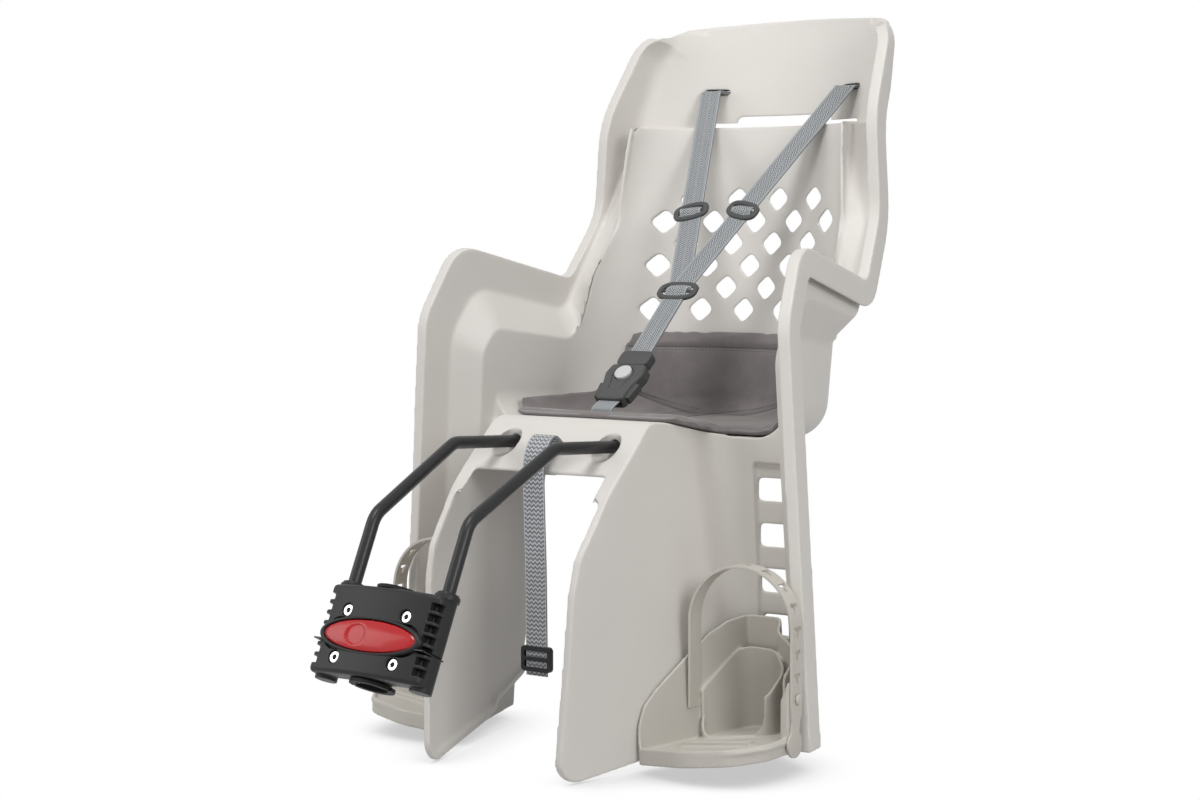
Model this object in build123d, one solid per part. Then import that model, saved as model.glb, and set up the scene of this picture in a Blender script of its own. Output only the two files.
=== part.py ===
from build123d import *
import os
from math import cos, radians, sin, tan

os.makedirs("parts", exist_ok=True)

# Millimetres, +Z up, the child faces -Y and +X is the child's left hand.
# The seat is laid out in its own frame: the origin midway between the two bar holes of the pan's
# front apron. The bracket has its own frame too: the origin on the axis of the seat tube that it clamps.
# Every piece is written in the bracket's place, with the origin in the middle of the clamp.

# Seat shell
wall = 3.5
side_half_width = 222.0
side_toe_out = 8.0
side_lean_out = 3.5
side_level = 60.0
rim_face = 13.0
skirt_depth = 28.0
side_wall_inset = 40.0
arm_front = 47.0
arm_knee = (47.0, 116.0)
arm_peak = (90.0, 191.0)
arm_valley = (256.0, 154.0)
shoulder = (301.0, 221.0)
head_root = (303.0, 322.0)
head_peak = (369.0, 430.0)
rim_radii = (60.0, 36.0, 14.0, 70.0, 100.0, 30.0)
leg_bottom = -277.0
recline = 14.7
back_radius = 210.0
back_foot = 292.8
back_corner_radius = 60.0
pan_corner_radius = 34.0
pan_rear_level = -2.0
pan_middle = (130.0, 4.0)
pan_front = (40.0, 22.0)
nose = (12.0, 24.0)
apron_foot = (-40.0, -22.0)
nose_radius = 24.0
head_level = 316.0
head_set_back = 37.0
head_top = 435.0
head_top_radius = 1000.0
head_top_fall = -0.1
head_lip = 5.0
trim_inset = 46.0
shield_edge = [(-58.0, -40.0), (-97.0, -93.0), (-105.0, -125.0), (-118.0, -300.0), (17.0, -283.0), (45.0, -277.0)]
shield_edge = [*shield_edge, (46.0, -269.0), (125.0, -245.0)]
shield_radii = (40.0, 30.0, 60.0, 22.0, 60.0, 3.0, 3.0, 10.0)
shield_bead = 8.0
channel_middle = 153.0
channel_width = 34.0
channel_depth = 4.5
channel_top = -20.0
slide_lean = 0.05
head_corner_radius = 26.0
band_edge = [(84.0, 98.0), (115.0, 146.0), (247.0, 120.0), (308.0, 222.0), (360.0, 316.0)]
band_radii = (50.0, 30.0, 20.0, 60.0, 60.0)
bevel_edge = [(103.0, 82.0), (120.0, 106.0), (243.0, 90.0), (300.0, 221.0), (336.0, 316.0)]
bevel_radii = (26.0, 18.0, 30.0, 60.0, 60.0)
leg_rear = 120.0
leg_inner_radius = 28.0
leg_outer_radius = 14.0
shield_height = 300.0
shield_top = 91.5
shield_foot = 112.0
shield_top_splay = 0.025
shield_foot_splay = 0.285


# Openings of the shell
vent_side = 19.0
vent_corner = 4.5
vent_pitch = 50.0
vent_drop = 23.5
vent_rows = 6
vent_top = 237.5
carry_slot = (202.0, 5.0, 116.0, 12.0)
strap_slot = (27.0, 5.5)
strap_top = (84.0, 405.0, 357.0)
stop_count = 4
stop_top = -45.5
stop_pitch = 43.7
stop_size = (30.0, 21.0)
crotch_slot = (6.0, 62.0)
safety_slot = (-16.0, -1.0)
bar_half_gap = 58.0
bar_radius = 6.0
bar_clearance = 0.35
scoop_radius = 13.0

# Carrier bar, its cross plates and screws
socket_half_gap = 53.0
bar_upper_bend = (-95.0, 5.0)
bar_rear = (200.0, -12.0)
bar_bend_radius = 25.0
bar_bend = 111.0
bar_end = -24.0
bar_fall = -3.43
clamp_rows = {"front": 95.0, "rear": 142.0}
clamp_width = 156.0
clamp_depth = 24.0
clamp_split = 0.6
clamp_screw_columns = (36.0, 72.0)
clamp_screw_radius = 2.2

# Bracket on the bicycle's seat tube, in its own frame
block_tilt = 26.0
block_origin = (0.0, -262.6, -150.4)
block_front = 25.0
block_rear = 28.0
block_half_width = 62.0
rear_half_width = 41.0
block_half_height = 40.0
block_bulge = 8.0
block_corner = 7.0
block_round = 4.0
split_gap = 3.0
tube_radius = 14.3
liner_radius = 16.5
liner_half_height = 44.0
socket_radius = 10.0
socket_top = 46.0
rib_count = 7
rib_pitch = 9.6
rib_pocket = (16.0, 12.0, 6.6)
bolt_column = 32.4
bolt_levels = (16.5, -26.0)
bolt_radius = 3.0
bolt_head = (5.0, 6.0, 2.5)
bolt_seat = 15.0
nut_seat = 20.0
nut_radius = 5.8
nut_height = 5.0
button_size = (102.0, 28.0)
button_level = -4.7
button_depth = 4.0
button_back = 22.3
button_travel = 3.2
button_dish = (-14.0, 0.0, 22.0)
pocket_floor = 17.6
latch_level = -11.0
latch_sheet = 1.2
latch_groove = 2.4
latch_bite = 1.2

# Cushion
pad_gap = 0.4
pad_thickness = 9.5
pad_plan = [(0.0, 42.0), (98.0, 42.0), (101.0, 124.0), (168.0, 128.0), (130.0, 420.0), (0.0, 420.0)]
pad_top = 102.0
pad_face = [(0.0, pad_top), (112.0, pad_top), (129.0, 36.0), (190.0, 30.0), (190.0, -30.0), (0.0, -30.0)]

# Harness
webbing_width = 25.0
webbing = 1.6
strap_meet = (0.0, 198.0, 141.0)
strap_end = (0.0, 126.0, 77.0)
slider_share = 0.63
strap_lead = 12.0
slider_wall = 1.4
keeper_size = (40.0, 16.0, 2.5)
buckle_foot = (0.0, 76.0, 35.0)
buckle_lean = 40.0
buckle_length = 70.0
buckle_split = 50.0
buckle_height = 13.0
buckle_outline = [(16.0, 0.0), (17.5, 20.0), (22.5, 36.0), (20.0, 50.0)]
buckle_button_up = 36.0
buckle_button_radius = 9.0
buckle_travel = 2.0
tongue_plate = (22.0, 14.0, 3.0)
tongue_head = 36.0
crotch_level = 12.0
safety_path = [(-8.0, -9.0), (-31.0, 14.0), (-50.0, -6.0), (-46.0, -100.0), (-44.0, -216.0)]
safety_lock = (-44.3, -200.0)

# Foot cups and foot straps, left side
cup_corners = [(110.0, -16.0), (155.0, -21.0), (200.0, -8.0), (229.0, 17.0), (229.0, 34.0), (214.0, 40.0)]
cup_corners = [*cup_corners, (213.0, 76.0), (184.0, 100.0), (184.0, 112.0), (149.0, 112.0)]
cup_radii = (8, 60, 40, 10, 8, 6, 14, 12, 8, 10)
cup_low = -290.0
cup_slope = 0.12
cup_wall = 3.0
cup_step = 197.0
cup_lip = -266.0
cup_rear = 112.0
cup_top = [(-60.0, -266.0), (20.0, -262.0), (88.0, -190.0), (130.0, -176.0)]
cup_bar = (160.0, 12.0)
heel_corners = [(144.0, 40.0), (196.0, 34.0), (194.0, 96.0), (158.0, 98.0)]
heel_edge = [(20.0, -276.0), (44.0, -262.0), (92.0, -205.0), (120.0, -200.0)]
strap_inner = (147.0, 80.0)
strap_outer = (212.5, 48.0)
strap_span = 72.9
rubber = 2.5
rubber_width = 19.0
rubber_path = [(0.0, -272.0), (0.0, -140.0), (24.0, -112.0), (strap_span, -168.0), (strap_span, -262.0)]
ear_thickness = 3.0
ear_middle = -240.0
ear_height = 80.0
tongue_level = -214.0
tongue_size = (28.0, 60.0)
hole_count = 7
hole_top = -196.0
hole_pitch = 11.0
peg_hole = 3
peg_radius = 2.3

far = 700.0
seated = (Align.CENTER, Align.CENTER, Align.MIN)


def on_side(y, z):
    """Place of a seat point in the plane of the left rim."""
    return ((y - arm_front) / cos(radians(side_toe_out)), (z - side_level) / cos(radians(side_lean_out)))


def side_plane(inset):
    """Plane of the left rim, moved inwards by inset."""
    toe = tan(radians(side_toe_out))
    lean = tan(radians(side_lean_out))
    plane = Plane(origin=(side_half_width, arm_front, side_level), x_dir=(-toe, 1, 0), z_dir=(1, toe, lean))
    return plane.offset(-inset)


def beyond_side(inset):
    """Everything further out than the left rim's plane moved inwards by inset."""
    return extrude(side_plane(inset) * Rectangle(4 * far, 4 * far), far)


def side_region(points, radii, closing):
    """Face in side view: an edge line with rounded corners, closed through the closing points."""
    line = FilletPolyline(*[on_side(*p) for p in points], radius=radii)
    rest = Polyline(*[on_side(*p) for p in [points[-1], *closing, points[0]]])
    return make_face(line + rest)


def back_space(set_back, grow):
    """Space in front of the reclined, hollowed back."""
    axis = Plane(
        origin=(0, back_foot + set_back, 0),
        x_dir=(1, 0, 0),
        z_dir=(0, sin(radians(recline)), cos(radians(recline))),
    )
    radius = back_radius + grow
    middle = Pos(0, -back_radius) * Circle(radius)
    front = Pos(0, -back_radius - far / 2) * Rectangle(4 * far, far)
    return extrude(axis.offset(-far / 2) * (middle + front), 1.5 * far)


def half(solid):
    """Left half of a solid."""
    return solid & Pos(far, 0, 0) * Box(2 * far, 4 * far, 4 * far)


def rear_corner(space):
    """Upright edge where the back meets the side of a space."""
    side = max(space.faces(), key=lambda f: f.normal_at().dot(side_plane(0).z_dir) * f.area)
    upright = [e for e in side.edges() if abs(e.tangent_at(0.5).Z) > 0.7]
    return max(upright, key=lambda e: e.center().Y)


def floor_face(points, radii, grow):
    """Side view of all that lies above a floor line, with the floor lowered by grow."""
    line = FilletPolyline(*points, radius=radii)
    rest = Polyline(points[-1], (points[-1][0], far), (far, far), points[0])
    face = make_face(line + rest)
    return offset(face, grow) if grow else face


def bucket_space(grow, front):
    """Space of the bucket: between the deep side walls, before the back and above the pan."""
    rise = (pan_middle[1] - pan_rear_level) / (pan_middle[0] - back_foot)
    front_end = (front - grow, pan_rear_level - rise * (back_foot - front + grow) - grow)
    rear_end = (far, pan_rear_level + rise * (far - back_foot) - grow)
    floor = make_face(Polyline(rear_end, front_end, (front_end[0], far), (far, far), close=True))
    space = extrude(Plane.YZ * floor, far) & back_space(0, grow)
    space = space - beyond_side(side_wall_inset - grow)
    space = fillet(rear_corner(space), back_corner_radius + grow)
    under = min(space.faces(), key=lambda f: f.normal_at().Z * f.area)
    seams = [e for e in under.edges() if e.center().X > 1 and e.center().Y > front - grow + 1]
    return fillet(seams, pan_corner_radius + grow)


def nose_space(grow, rear=leg_rear):
    """Space above the pan's middle tongue, which rolls down into the front apron."""
    slope = (nose[1] - apron_foot[1]) / (nose[0] - apron_foot[0])
    front_end = (-far / 4, nose[1] - slope * (nose[0] + far / 4))
    points = [(far, pan_rear_level), pan_middle, pan_front, nose, front_end]
    space = extrude(Plane.YZ * floor_face(points, (220, 90, nose_radius), grow), far)
    space = space - beyond_side(side_wall_inset - grow)
    return space - Pos(0, rear + grow + far, 0) * Box(4 * far, 2 * far, 4 * far)


def head_space(grow):
    """Space of the head part, set back behind the lower back and open to the front."""
    space = back_space(head_set_back, grow) - beyond_side(rim_face - grow)
    space = space - Pos(0, 0, head_level - grow - far) * Box(4 * far, 4 * far, 2 * far)
    space = half(space)
    corner = rear_corner(space)
    return fillet(corner, head_corner_radius + grow)


def rim_space(grow):
    """Space between the rims: the band inside each rim and the bevel down to the deep wall."""
    top = head_level + far / 4
    band = [(band_edge[0][0], -far), *band_edge, (band_edge[-1][0] + far / 6, top)]
    foot = [(bevel_edge[0][0], -far), *bevel_edge, (bevel_edge[-1][0] + far / 6, top)]
    band_face = side_region(band, band_radii, [(-far, top), (-far, -far)])
    foot_face = side_region(foot, bevel_radii, [(-far, top), (-far, -far)])
    if grow:
        band_face = offset(band_face, grow)
        foot_face = offset(foot_face, grow)
    ends = [side_plane(rim_face - grow) * band_face, side_plane(side_wall_inset) * foot_face]
    return loft(ends, ruled=True)


def leg_space(grow):
    """Space of the left leg well, between shield, rear wall and outer wall."""
    sections = []
    for level in (40.0, -340.0):
        share = -level / shield_height
        base = shield_top + (shield_foot - shield_top) * share - grow
        splay = shield_top_splay + (shield_foot_splay - shield_top_splay) * share
        rear = leg_rear + grow
        front = -far / 3
        outer = side_plane(side_wall_inset - grow)
        rim = [(outer.origin - Vector(0, y, level)).dot(outer.z_dir) / outer.z_dir.X for y in (front, rear)]
        corners = [(base + splay * front, front), (rim[0], front), (rim[1], rear), (base + splay * rear, rear)]
        radii = (0, 0, leg_outer_radius + grow, leg_inner_radius + grow)
        outline = FilletPolyline(*corners, radius=radii, close=True)
        sections.append(Pos(0, 0, level) * make_face(outline))
    return loft(sections, ruled=True)


def rim_region(inset):
    """Side view of the left rim: all that lies behind its front edge, drawn in by inset."""
    edge = [(arm_front, -far), arm_knee, arm_peak, arm_valley, shoulder, head_root, head_peak]
    edge = [*edge, (far, head_peak[1] + (far - head_peak[0]) * head_top_fall)]
    region = side_region(edge, rim_radii, [(far, -far)])
    return offset(region, -inset) if inset else region


def carved(grow):
    """All the left spaces of the seat in one, grown by grow."""
    legs = Pos(0, 0, side_level - far) * Box(4 * far, 4 * far, 2 * far)
    below_head = Pos(0, 0, head_level - grow - far) * Box(4 * far, 4 * far, 2 * far)
    band = rim_space(grow) & (back_space(head_set_back, grow) + legs) & below_head
    space = bucket_space(grow, leg_rear - 2) + nose_space(grow) + leg_space(grow) + channel_space(grow)
    return space + head_space(grow) + band


def channel_space(grow):
    """Upright channel in the rear wall of the left leg well, in which the foot cup's tongue slides."""
    half_width = channel_width / 2 + grow
    sections = []
    for level in (channel_top + grow, -340.0):
        middle = channel_middle - slide_lean * level
        sections.append(Pos(middle, leg_rear - 6, level) * Rectangle(2 * half_width, 2 * (6 + channel_depth + grow)))
    return loft(sections, ruled=True)


def slab(inset, thickness, face):
    """Plate on the left side, from inset outwards by thickness, with the side view of face."""
    return extrude(side_plane(inset) * face, thickness)


def shield_region(inset):
    """Side view of the shield and apron: all that lies behind their front edge, drawn in by inset."""
    edge = [(apron_foot[0], far), apron_foot, *shield_edge, (far, shield_edge[-1][1])]
    outline = FilletPolyline(*edge, radius=(4.0, *shield_radii))
    region = make_face(outline + Polyline(edge[-1], (far, far), edge[0]))
    return offset(region, -inset) if inset else region


def half_shell():
    """Left half of the moulded seat shell, before its openings are cut."""
    inner = carved(0)
    middle = extrude(Plane.YZ * shield_region(0), far) - beyond_side(trim_inset)
    above_foot = Pos(0, 0, leg_bottom + far) * Box(4 * far, 4 * far, 2 * far)
    sides = slab(trim_inset, trim_inset, rim_region(0)) & above_foot
    shell = half(carved(wall) - inner) & (middle + sides)
    gap_top = Pos(0, apron_foot[0] - far, 0) * Box(2 * (shield_top - 2 * shield_bead), 2 * far, 4 * far)
    shell = shell - gap_top
    bead = leg_space(shield_bead) & extrude(Plane.YZ * (shield_region(0) - shield_region(shield_bead)), far)
    shell = shell + (half(bead - inner) & middle)
    rim = slab(wall, wall, rim_region(0) - rim_region(skirt_depth))
    rim = rim + slab(rim_face, rim_face, rim_region(0) - rim_region(wall))
    below_head = Pos(0, 0, head_level - wall - far) * Box(4 * far, 2 * head_peak[0] + 60, 2 * far)
    rim = rim & above_foot & (below_head + back_space(head_set_back, wall))
    shell = shell + rim
    crown = Pos(0, 0, head_top - head_top_radius) * Rot(90, 0, 0) * Cylinder(head_top_radius, 4 * far)
    lip = back_space(head_set_back, wall + head_lip) - back_space(head_set_back, wall / 2) - beyond_side(rim_face)
    lip = half(lip - Pos(0, 0, -head_lip) * crown) & Pos(0, far, head_level + far) * Box(2 * far, 2 * far, 2 * far)
    shell = (shell + lip) & crown
    return shell


def vent_tools():
    """Cutters of the back's diamond vents."""
    diamond = Rot(0, 0, 45) * RectangleRounded(vent_side, vent_side, vent_corner)
    tools = []
    for row in range(vent_rows):
        columns = (0.5, 1.5) if row % 2 == 0 else (0, 1, 2)
        for column in columns:
            place = Pos(column * vent_pitch, 0, vent_top - row * vent_drop)
            tools.append(place * Rot(90, 0, 0) * extrude(diamond, -far))
    return tools


def slot_tools():
    """Cutters of the straps' slots, the carrying slot and the foot cups' stops in the left half."""
    across = Rot(90, 0, 0)
    wide = RectangleRounded(carry_slot[0], carry_slot[1], 2)
    wide = across * extrude(wide, -2 * far)
    tools = [Pos(0, head_level - 60, head_level + 1 + carry_slot[1] / 2) * wide]
    tall = across * extrude(RectangleRounded(carry_slot[2], carry_slot[3], 4), -2 * far)
    tools.append(Pos(0, head_level - 60, head_level + 1 + carry_slot[3] / 2) * tall)
    slot = extrude(RectangleRounded(strap_slot[0], strap_slot[1], 2), far / 2, both=True)
    tools.append(Pos(strap_top[0], 3 * far / 4, strap_top[2]) * across * slot)
    window = across * extrude(RectangleRounded(stop_size[0], stop_size[1], 2), 20, both=True)
    for stop in range(stop_count):
        level = stop_top - stop * stop_pitch
        tools.append(Pos(channel_middle - slide_lean * level, leg_rear, level) * window)
    tools.append(Pos(0, crotch_slot[1], 0) * extrude(RectangleRounded(strap_slot[0], crotch_slot[0], 2), 60, both=True))
    apron = Plane(origin=(0, safety_slot[0], safety_slot[1]), x_dir=(1, 0, 0), z_dir=(0, -1, 1))
    tools.append(extrude(apron * RectangleRounded(strap_slot[0], strap_slot[1], 2), 12, both=True))
    return tools


def whole_shell():
    """The moulded seat shell with all of its openings."""
    left = half_shell()
    boss = Pos(bar_half_gap, -30, 0) * Rot(-90, 0, 0) * Cylinder(scoop_radius + wall, 30 + wall, align=seated)
    scoop = Pos(bar_half_gap, -far, 0) * Rot(-90, 0, 0) * Cylinder(scoop_radius, far, align=seated)
    left = left + (boss - nose_space(0))
    left = left - scoop
    bar_hole = Pos(bar_half_gap, 0, 0) * Rot(90, 0, 0) * Cylinder(bar_radius + bar_clearance, 60)
    left = left - [bar_hole, *vent_tools(), *slot_tools()]
    return left + mirror(left, Plane.YZ)


def ribbon(points, radii, thickness, width):
    """Flat band that follows a line drawn in the XY plane, spread evenly to both sides of it."""
    spots = [Vector(*point) for point in points]
    runs = [(b - a).normalized() for a, b in zip(spots, spots[1:])]
    runs = [runs[0], *runs, runs[-1]]
    turns = [a.X * b.Y - a.Y * b.X for a, b in zip(runs, runs[1:])]
    lines = []
    for side in (-thickness / 2, thickness / 2):
        line = []
        for spot, a, b in zip(spots, runs, runs[1:]):
            bisector = Vector(-a.Y - b.Y, a.X + b.X, 0)
            line.append(spot + bisector * (side / (1 + a.dot(b))))
        bends = [r - side if turn > 0 else r + side for r, turn in zip(radii, turns[1:-1])]
        lines.append(FilletPolyline(*line, radius=tuple(bends)))
    ends = [Line(lines[0] @ 0, lines[1] @ 0), Line(lines[0] @ 1, lines[1] @ 1)]
    return extrude(make_face(lines[0] + lines[1] + ends), width / 2, both=True)


def between(start, end, width, thickness, across):
    """Straight flat band from start to end, its width lying along across."""
    start, end = Vector(*start), Vector(*end)
    plane = Plane(origin=(start + end) * 0.5, x_dir=across, z_dir=(end - start).normalized())
    return extrude(plane * Rectangle(width, thickness), (end - start).length / 2, both=True)


def seat_pad():
    """Loose cushion that lies on the pan and leans a little way up the back."""
    deep = bucket_space(-pad_gap, nose[0]) - bucket_space(-pad_gap - pad_thickness, nose[0] - 2 * pad_thickness)
    front = nose_space(-pad_gap, back_foot) - nose_space(-pad_gap - pad_thickness, back_foot)
    plan = FilletPolyline(*pad_plan, radius=(0, 12, 14, 30, 0, 0), close=True)
    plan = extrude(make_face(plan), pad_top, both=True)
    behind = Pos(0, leg_rear - 1.5 + far, 0) * Box(4 * far, 2 * far, 4 * far)
    left = (deep & behind & plan) + ((front - behind) & plan)
    face = make_face(FilletPolyline(*pad_face, radius=(18, 14, 0, 0)) + Line(pad_face[-1], pad_face[0]))
    left = left & Rot(90, 0, 0) * extrude(face, far, both=True)
    pad = left + mirror(left, Plane.YZ)
    slot = extrude(RectangleRounded(strap_slot[0] + 4, crotch_slot[0] + 4, 3), 60, both=True)
    return pad - Pos(0, crotch_slot[1], 0) * slot


def carrier_bar():
    """Round steel bar bent to a loop: under the pan, through the apron and down into the bracket."""
    low = block_place(socket_half_gap, 0, bar_end)
    bend = block_place(socket_half_gap, 0, bar_bend)
    right = [low, bend, (bar_half_gap, *bar_upper_bend), (bar_half_gap, 0, 0), (bar_half_gap, *bar_rear)]
    left = [(-x, y, z) for x, y, z in reversed(right)]
    path = FilletPolyline(*right, *left, radius=(bar_bend_radius, bar_bend_radius, 60, 40, 40, 60, *2 * (bar_bend_radius,)))
    section = Plane(origin=path @ 0, z_dir=path % 0) * Circle(bar_radius)
    bar = sweep(section, path=path)
    for side in (-1, 1):
        x, y, z = block_place(side * socket_half_gap, 0, latch_level)
        ring = Cylinder(2 * bar_radius, latch_groove) - Cylinder(bar_radius - latch_bite, latch_groove)
        bar = bar - Pos(x, y, z) * Rot(-block_tilt, 0, 0) * ring
    return bar


def block_place(x, y, z):
    """Seat-frame point of a point given in the bracket's own tilted frame."""
    lean = radians(block_tilt)
    return (x, block_origin[1] + y * cos(lean) + z * sin(lean), block_origin[2] - y * sin(lean) + z * cos(lean))


def bar_level(y):
    """Height of the bar's axis under the pan."""
    return bar_rear[1] * y / bar_rear[0]


def bar_clamp(y):
    """Saddle and cross plate that hold both bars under the pan, each with two grooves."""
    level = bar_level(y)
    front, rear = y - clamp_depth / 2, y + clamp_depth / 2
    bottom = level - bar_radius - 4
    corners = [(front, bottom), (rear, bottom), (rear, under_pan(rear)), (front, under_pan(front))]
    block = extrude(Plane.YZ * make_face(Polyline(*corners, close=True)), clamp_width / 2, both=True)
    cuts = [Pos(0, y, level) * Rot(bar_fall, 0, 0) * Box(far, far, clamp_split)]
    for side in (-1, 1):
        groove = Rot(90 + bar_fall, 0, 0) * Cylinder(bar_radius + 0.15, 3 * clamp_depth)
        cuts.append(Pos(side * bar_half_gap, y, level) * groove)
        for column in clamp_screw_columns:
            cuts.append(Pos(side * column, y, level) * Cylinder(clamp_screw_radius, far))
    plate, saddle = (block - cuts).solids().sort_by(Axis.Z)
    return saddle, plate


def under_pan(y):
    """Height of the pan's underside in its middle, less a hair's breadth."""
    return floor_level(y) - wall - 0.1


def clamp_screws(y):
    """Four pan-head screws of one cross plate."""
    bottom = bar_level(y) - bar_radius - 4
    screws = Part()
    for side in (-1, 1):
        for column in clamp_screw_columns:
            head = Cylinder(4.2, 2.6, align=(Align.CENTER, Align.CENTER, Align.MAX))
            head = head - Pos(0, 0, -1.6) * extrude(RegularPolygon(2.2, 6), -2)
            shank = Cylinder(clamp_screw_radius - 0.05, under_pan(y + clamp_screw_radius) - bottom, align=seated)
            screws = screws + Pos(side * column, y, bottom) * (head + shank)
    return screws


def floor_level(y):
    """Height of the pan's upper face in its middle."""
    if y > pan_middle[0]:
        return pan_middle[1] + (y - pan_middle[0]) * (pan_rear_level - pan_middle[1]) / (back_foot - pan_middle[0])
    return pan_middle[1] + (y - pan_middle[0]) * (pan_front[1] - pan_middle[1]) / (pan_front[0] - pan_middle[0])


def bracket_halves():
    """Front and rear half of the bracket, in the bracket's own frame, -Y to the front."""
    edge = -block_front + block_bulge
    bow = ThreePointArc((-block_half_width, edge), (0, -block_front), (block_half_width, edge))
    sides = Polyline((block_half_width, edge), (block_half_width, 0), (-block_half_width, 0), (-block_half_width, edge))
    plan = make_face(bow + sides)
    plan = fillet(plan.vertices().sort_by(Axis.Y)[:2], block_corner)
    front = extrude(plan, block_half_height, both=True)
    rims = [e for e in front.edges() if abs(abs(e.center().Z) - block_half_height) < 0.01 and e.center().Y < -0.01]
    front = fillet(rims, block_round)
    front = front - Pos(0, far - split_gap / 2, 0) * Box(2 * far, 2 * far, 2 * far)
    rear = Pos(0, block_rear / 2, 0) * Box(2 * rear_half_width, block_rear, 2 * (block_half_height - 6))
    rear = fillet(rear.faces().sort_by(Axis.Y)[-1].edges(), 9)
    rear = rear - Pos(0, split_gap / 2 - far, 0) * Box(2 * far, 2 * far, 2 * far)
    for side in (-1, 1):
        foot = -block_half_height - 3
        socket = Pos(side * socket_half_gap, 0, foot) * Cylinder(socket_radius, socket_top - foot, align=seated)
        collar = Pos(side * socket_half_gap, 0, socket_top - 7) * Cylinder(socket_radius + 1.5, 5, align=seated)
        front = front + socket + collar
        for row in range(rib_count):
            pocket = Box(rib_pocket[0], rib_pocket[1], rib_pocket[2])
            level = (row - (rib_count - 1) / 2) * rib_pitch
            front = front - Pos(side * (block_half_width - 1), -block_front / 2 - 3, level) * pocket
    liner_bore = Cylinder(liner_radius, 4 * block_half_height)
    front = front - liner_bore
    rear = rear - liner_bore
    for side in (-1, 1):
        bore = Pos(side * socket_half_gap, 0, bar_end - 1)
        front = front - bore * Cylinder(bar_radius + 0.3, far, align=seated)
        slit = Box(2 * (socket_radius + 3), far, latch_sheet + 0.8)
        front = front - (Pos(side * socket_half_gap, far / 2 - pocket_floor - 5, latch_level) * slit)
        for level in bolt_levels:
            front = front - Pos(side * bolt_column, 0, level) * Rot(90, 0, 0) * Cylinder(bolt_radius + 0.2, far)
            rear = rear - Pos(side * bolt_column, 0, level) * Rot(90, 0, 0) * Cylinder(bolt_radius + 0.2, far)
            seat = Rot(90, 0, 0) * Cylinder(bolt_head[0] + 0.9, far, align=seated)
            front = front - Pos(side * bolt_column, -bolt_seat, level) * seat
            nut = Rot(-90, 0, 0) * extrude(RegularPolygon(nut_radius + 0.4, 6), far)
            rear = rear - Pos(side * bolt_column, nut_seat, level) * nut
    recess = Rot(90, 0, 0) * extrude(SlotOverall(button_size[0] + 1.2, button_size[1] + 1.2), far)
    front = front - Pos(0, -pocket_floor, button_level) * recess
    return front, rear


def tube_liners():
    """Two half sleeves between the bracket and the bicycle's seat tube."""
    sleeve = Cylinder(liner_radius - 0.15, 2 * liner_half_height) - Cylinder(tube_radius, far)
    for side in (-1, 1):
        flange = Cylinder(liner_radius + 4, 3) - Cylinder(tube_radius, far)
        sleeve = sleeve + Pos(0, 0, side * (liner_half_height - 1.5)) * flange
    gap = Box(far, split_gap, far)
    halves = (sleeve - gap).solids().sort_by(Axis.Y)
    return halves[0], halves[1]


def release_button():
    """Long oval push button of the bracket, dished where the thumb presses."""
    plate = Rot(90, 0, 0) * extrude(SlotOverall(*button_size), button_depth)
    outer = plate.faces().sort_by(Axis.Y)[0]
    plate = fillet(outer.edges(), 2.2)
    dish = Pos(button_dish[0], -button_depth - button_dish[2] + 1.0, 0) * Sphere(button_dish[2])
    return Pos(0, -button_back, button_level) * (plate - dish)


def latch_plate():
    """Steel sheet behind the button: an upright strip with two ears that lock into the bars' grooves."""
    height = 2 * (button_level - latch_level) + latch_sheet
    strip = Box(2 * socket_half_gap - 10, latch_sheet, height)
    strip = Pos(0, -button_back + latch_sheet / 2 + 0.05, button_level) * strip
    for side in (-1, 1):
        x = side * (socket_half_gap - 1.5)
        depth = button_back + 9
        ear = Pos(x, 9 - depth / 2, latch_level) * Box(18, depth, latch_sheet)
        ear = ear - Pos(side * socket_half_gap, 0, latch_level) * Cylinder(bar_radius - latch_bite + 0.3, 9)
        ear = ear - Pos(side * socket_half_gap, -button_travel, latch_level) * Cylinder(bar_radius + 0.4, 9)
        strip = strip + ear
    return strip


def clamp_bolts():
    """Four socket-head bolts of the bracket."""
    bolts = Part()
    for side in (-1, 1):
        for level in bolt_levels:
            head = Rot(90, 0, 0) * Cylinder(bolt_head[0], bolt_head[1], align=seated)
            socket = Rot(90, 0, 0) * extrude(RegularPolygon(bolt_head[2], 6), bolt_head[1])
            head = head - Pos(0, -bolt_head[1] + 3, 0) * socket
            shank = Rot(-90, 0, 0) * Cylinder(bolt_radius, bolt_seat + nut_seat + nut_height + 1, align=seated)
            bolts = bolts + Pos(side * bolt_column, -bolt_seat, level) * (head + shank)
    return bolts


def clamp_nuts():
    """Four hexagon nuts on the bracket's bolts."""
    nut = Rot(-90, 0, 0) * (extrude(RegularPolygon(nut_radius, 6), nut_height) - Cylinder(bolt_radius + 0.05, 60))
    nuts = Part()
    for side in (-1, 1):
        for level in bolt_levels:
            nuts = nuts + Pos(side * bolt_column, nut_seat + 0.05, level) * nut
    return nuts


def strap_line(side):
    """Both ends of the straight run of one shoulder strap; one strap lies on the other where they meet."""
    x, y, z = strap_top
    start = Vector(side * x, y - strap_lead, z)
    meet = Vector(*strap_meet)
    up = Vector(0, -sin(radians(45)), cos(radians(45)))
    return start, meet + (start - meet).normalized() * 5 + up * (side * 0.6 * webbing)


def shoulder_strap(side):
    """One shoulder strap: through its slot in the head part and straight down to the lower slider."""
    x, y, z = strap_top
    through = Pos(side * x, y + 8 - strap_lead / 2, z) * Box(webbing_width, 20 + strap_lead, webbing)
    start, end = strap_line(side)
    return through + between(tuple(start), tuple(end), webbing_width, webbing, (1, 0, 0))


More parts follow.
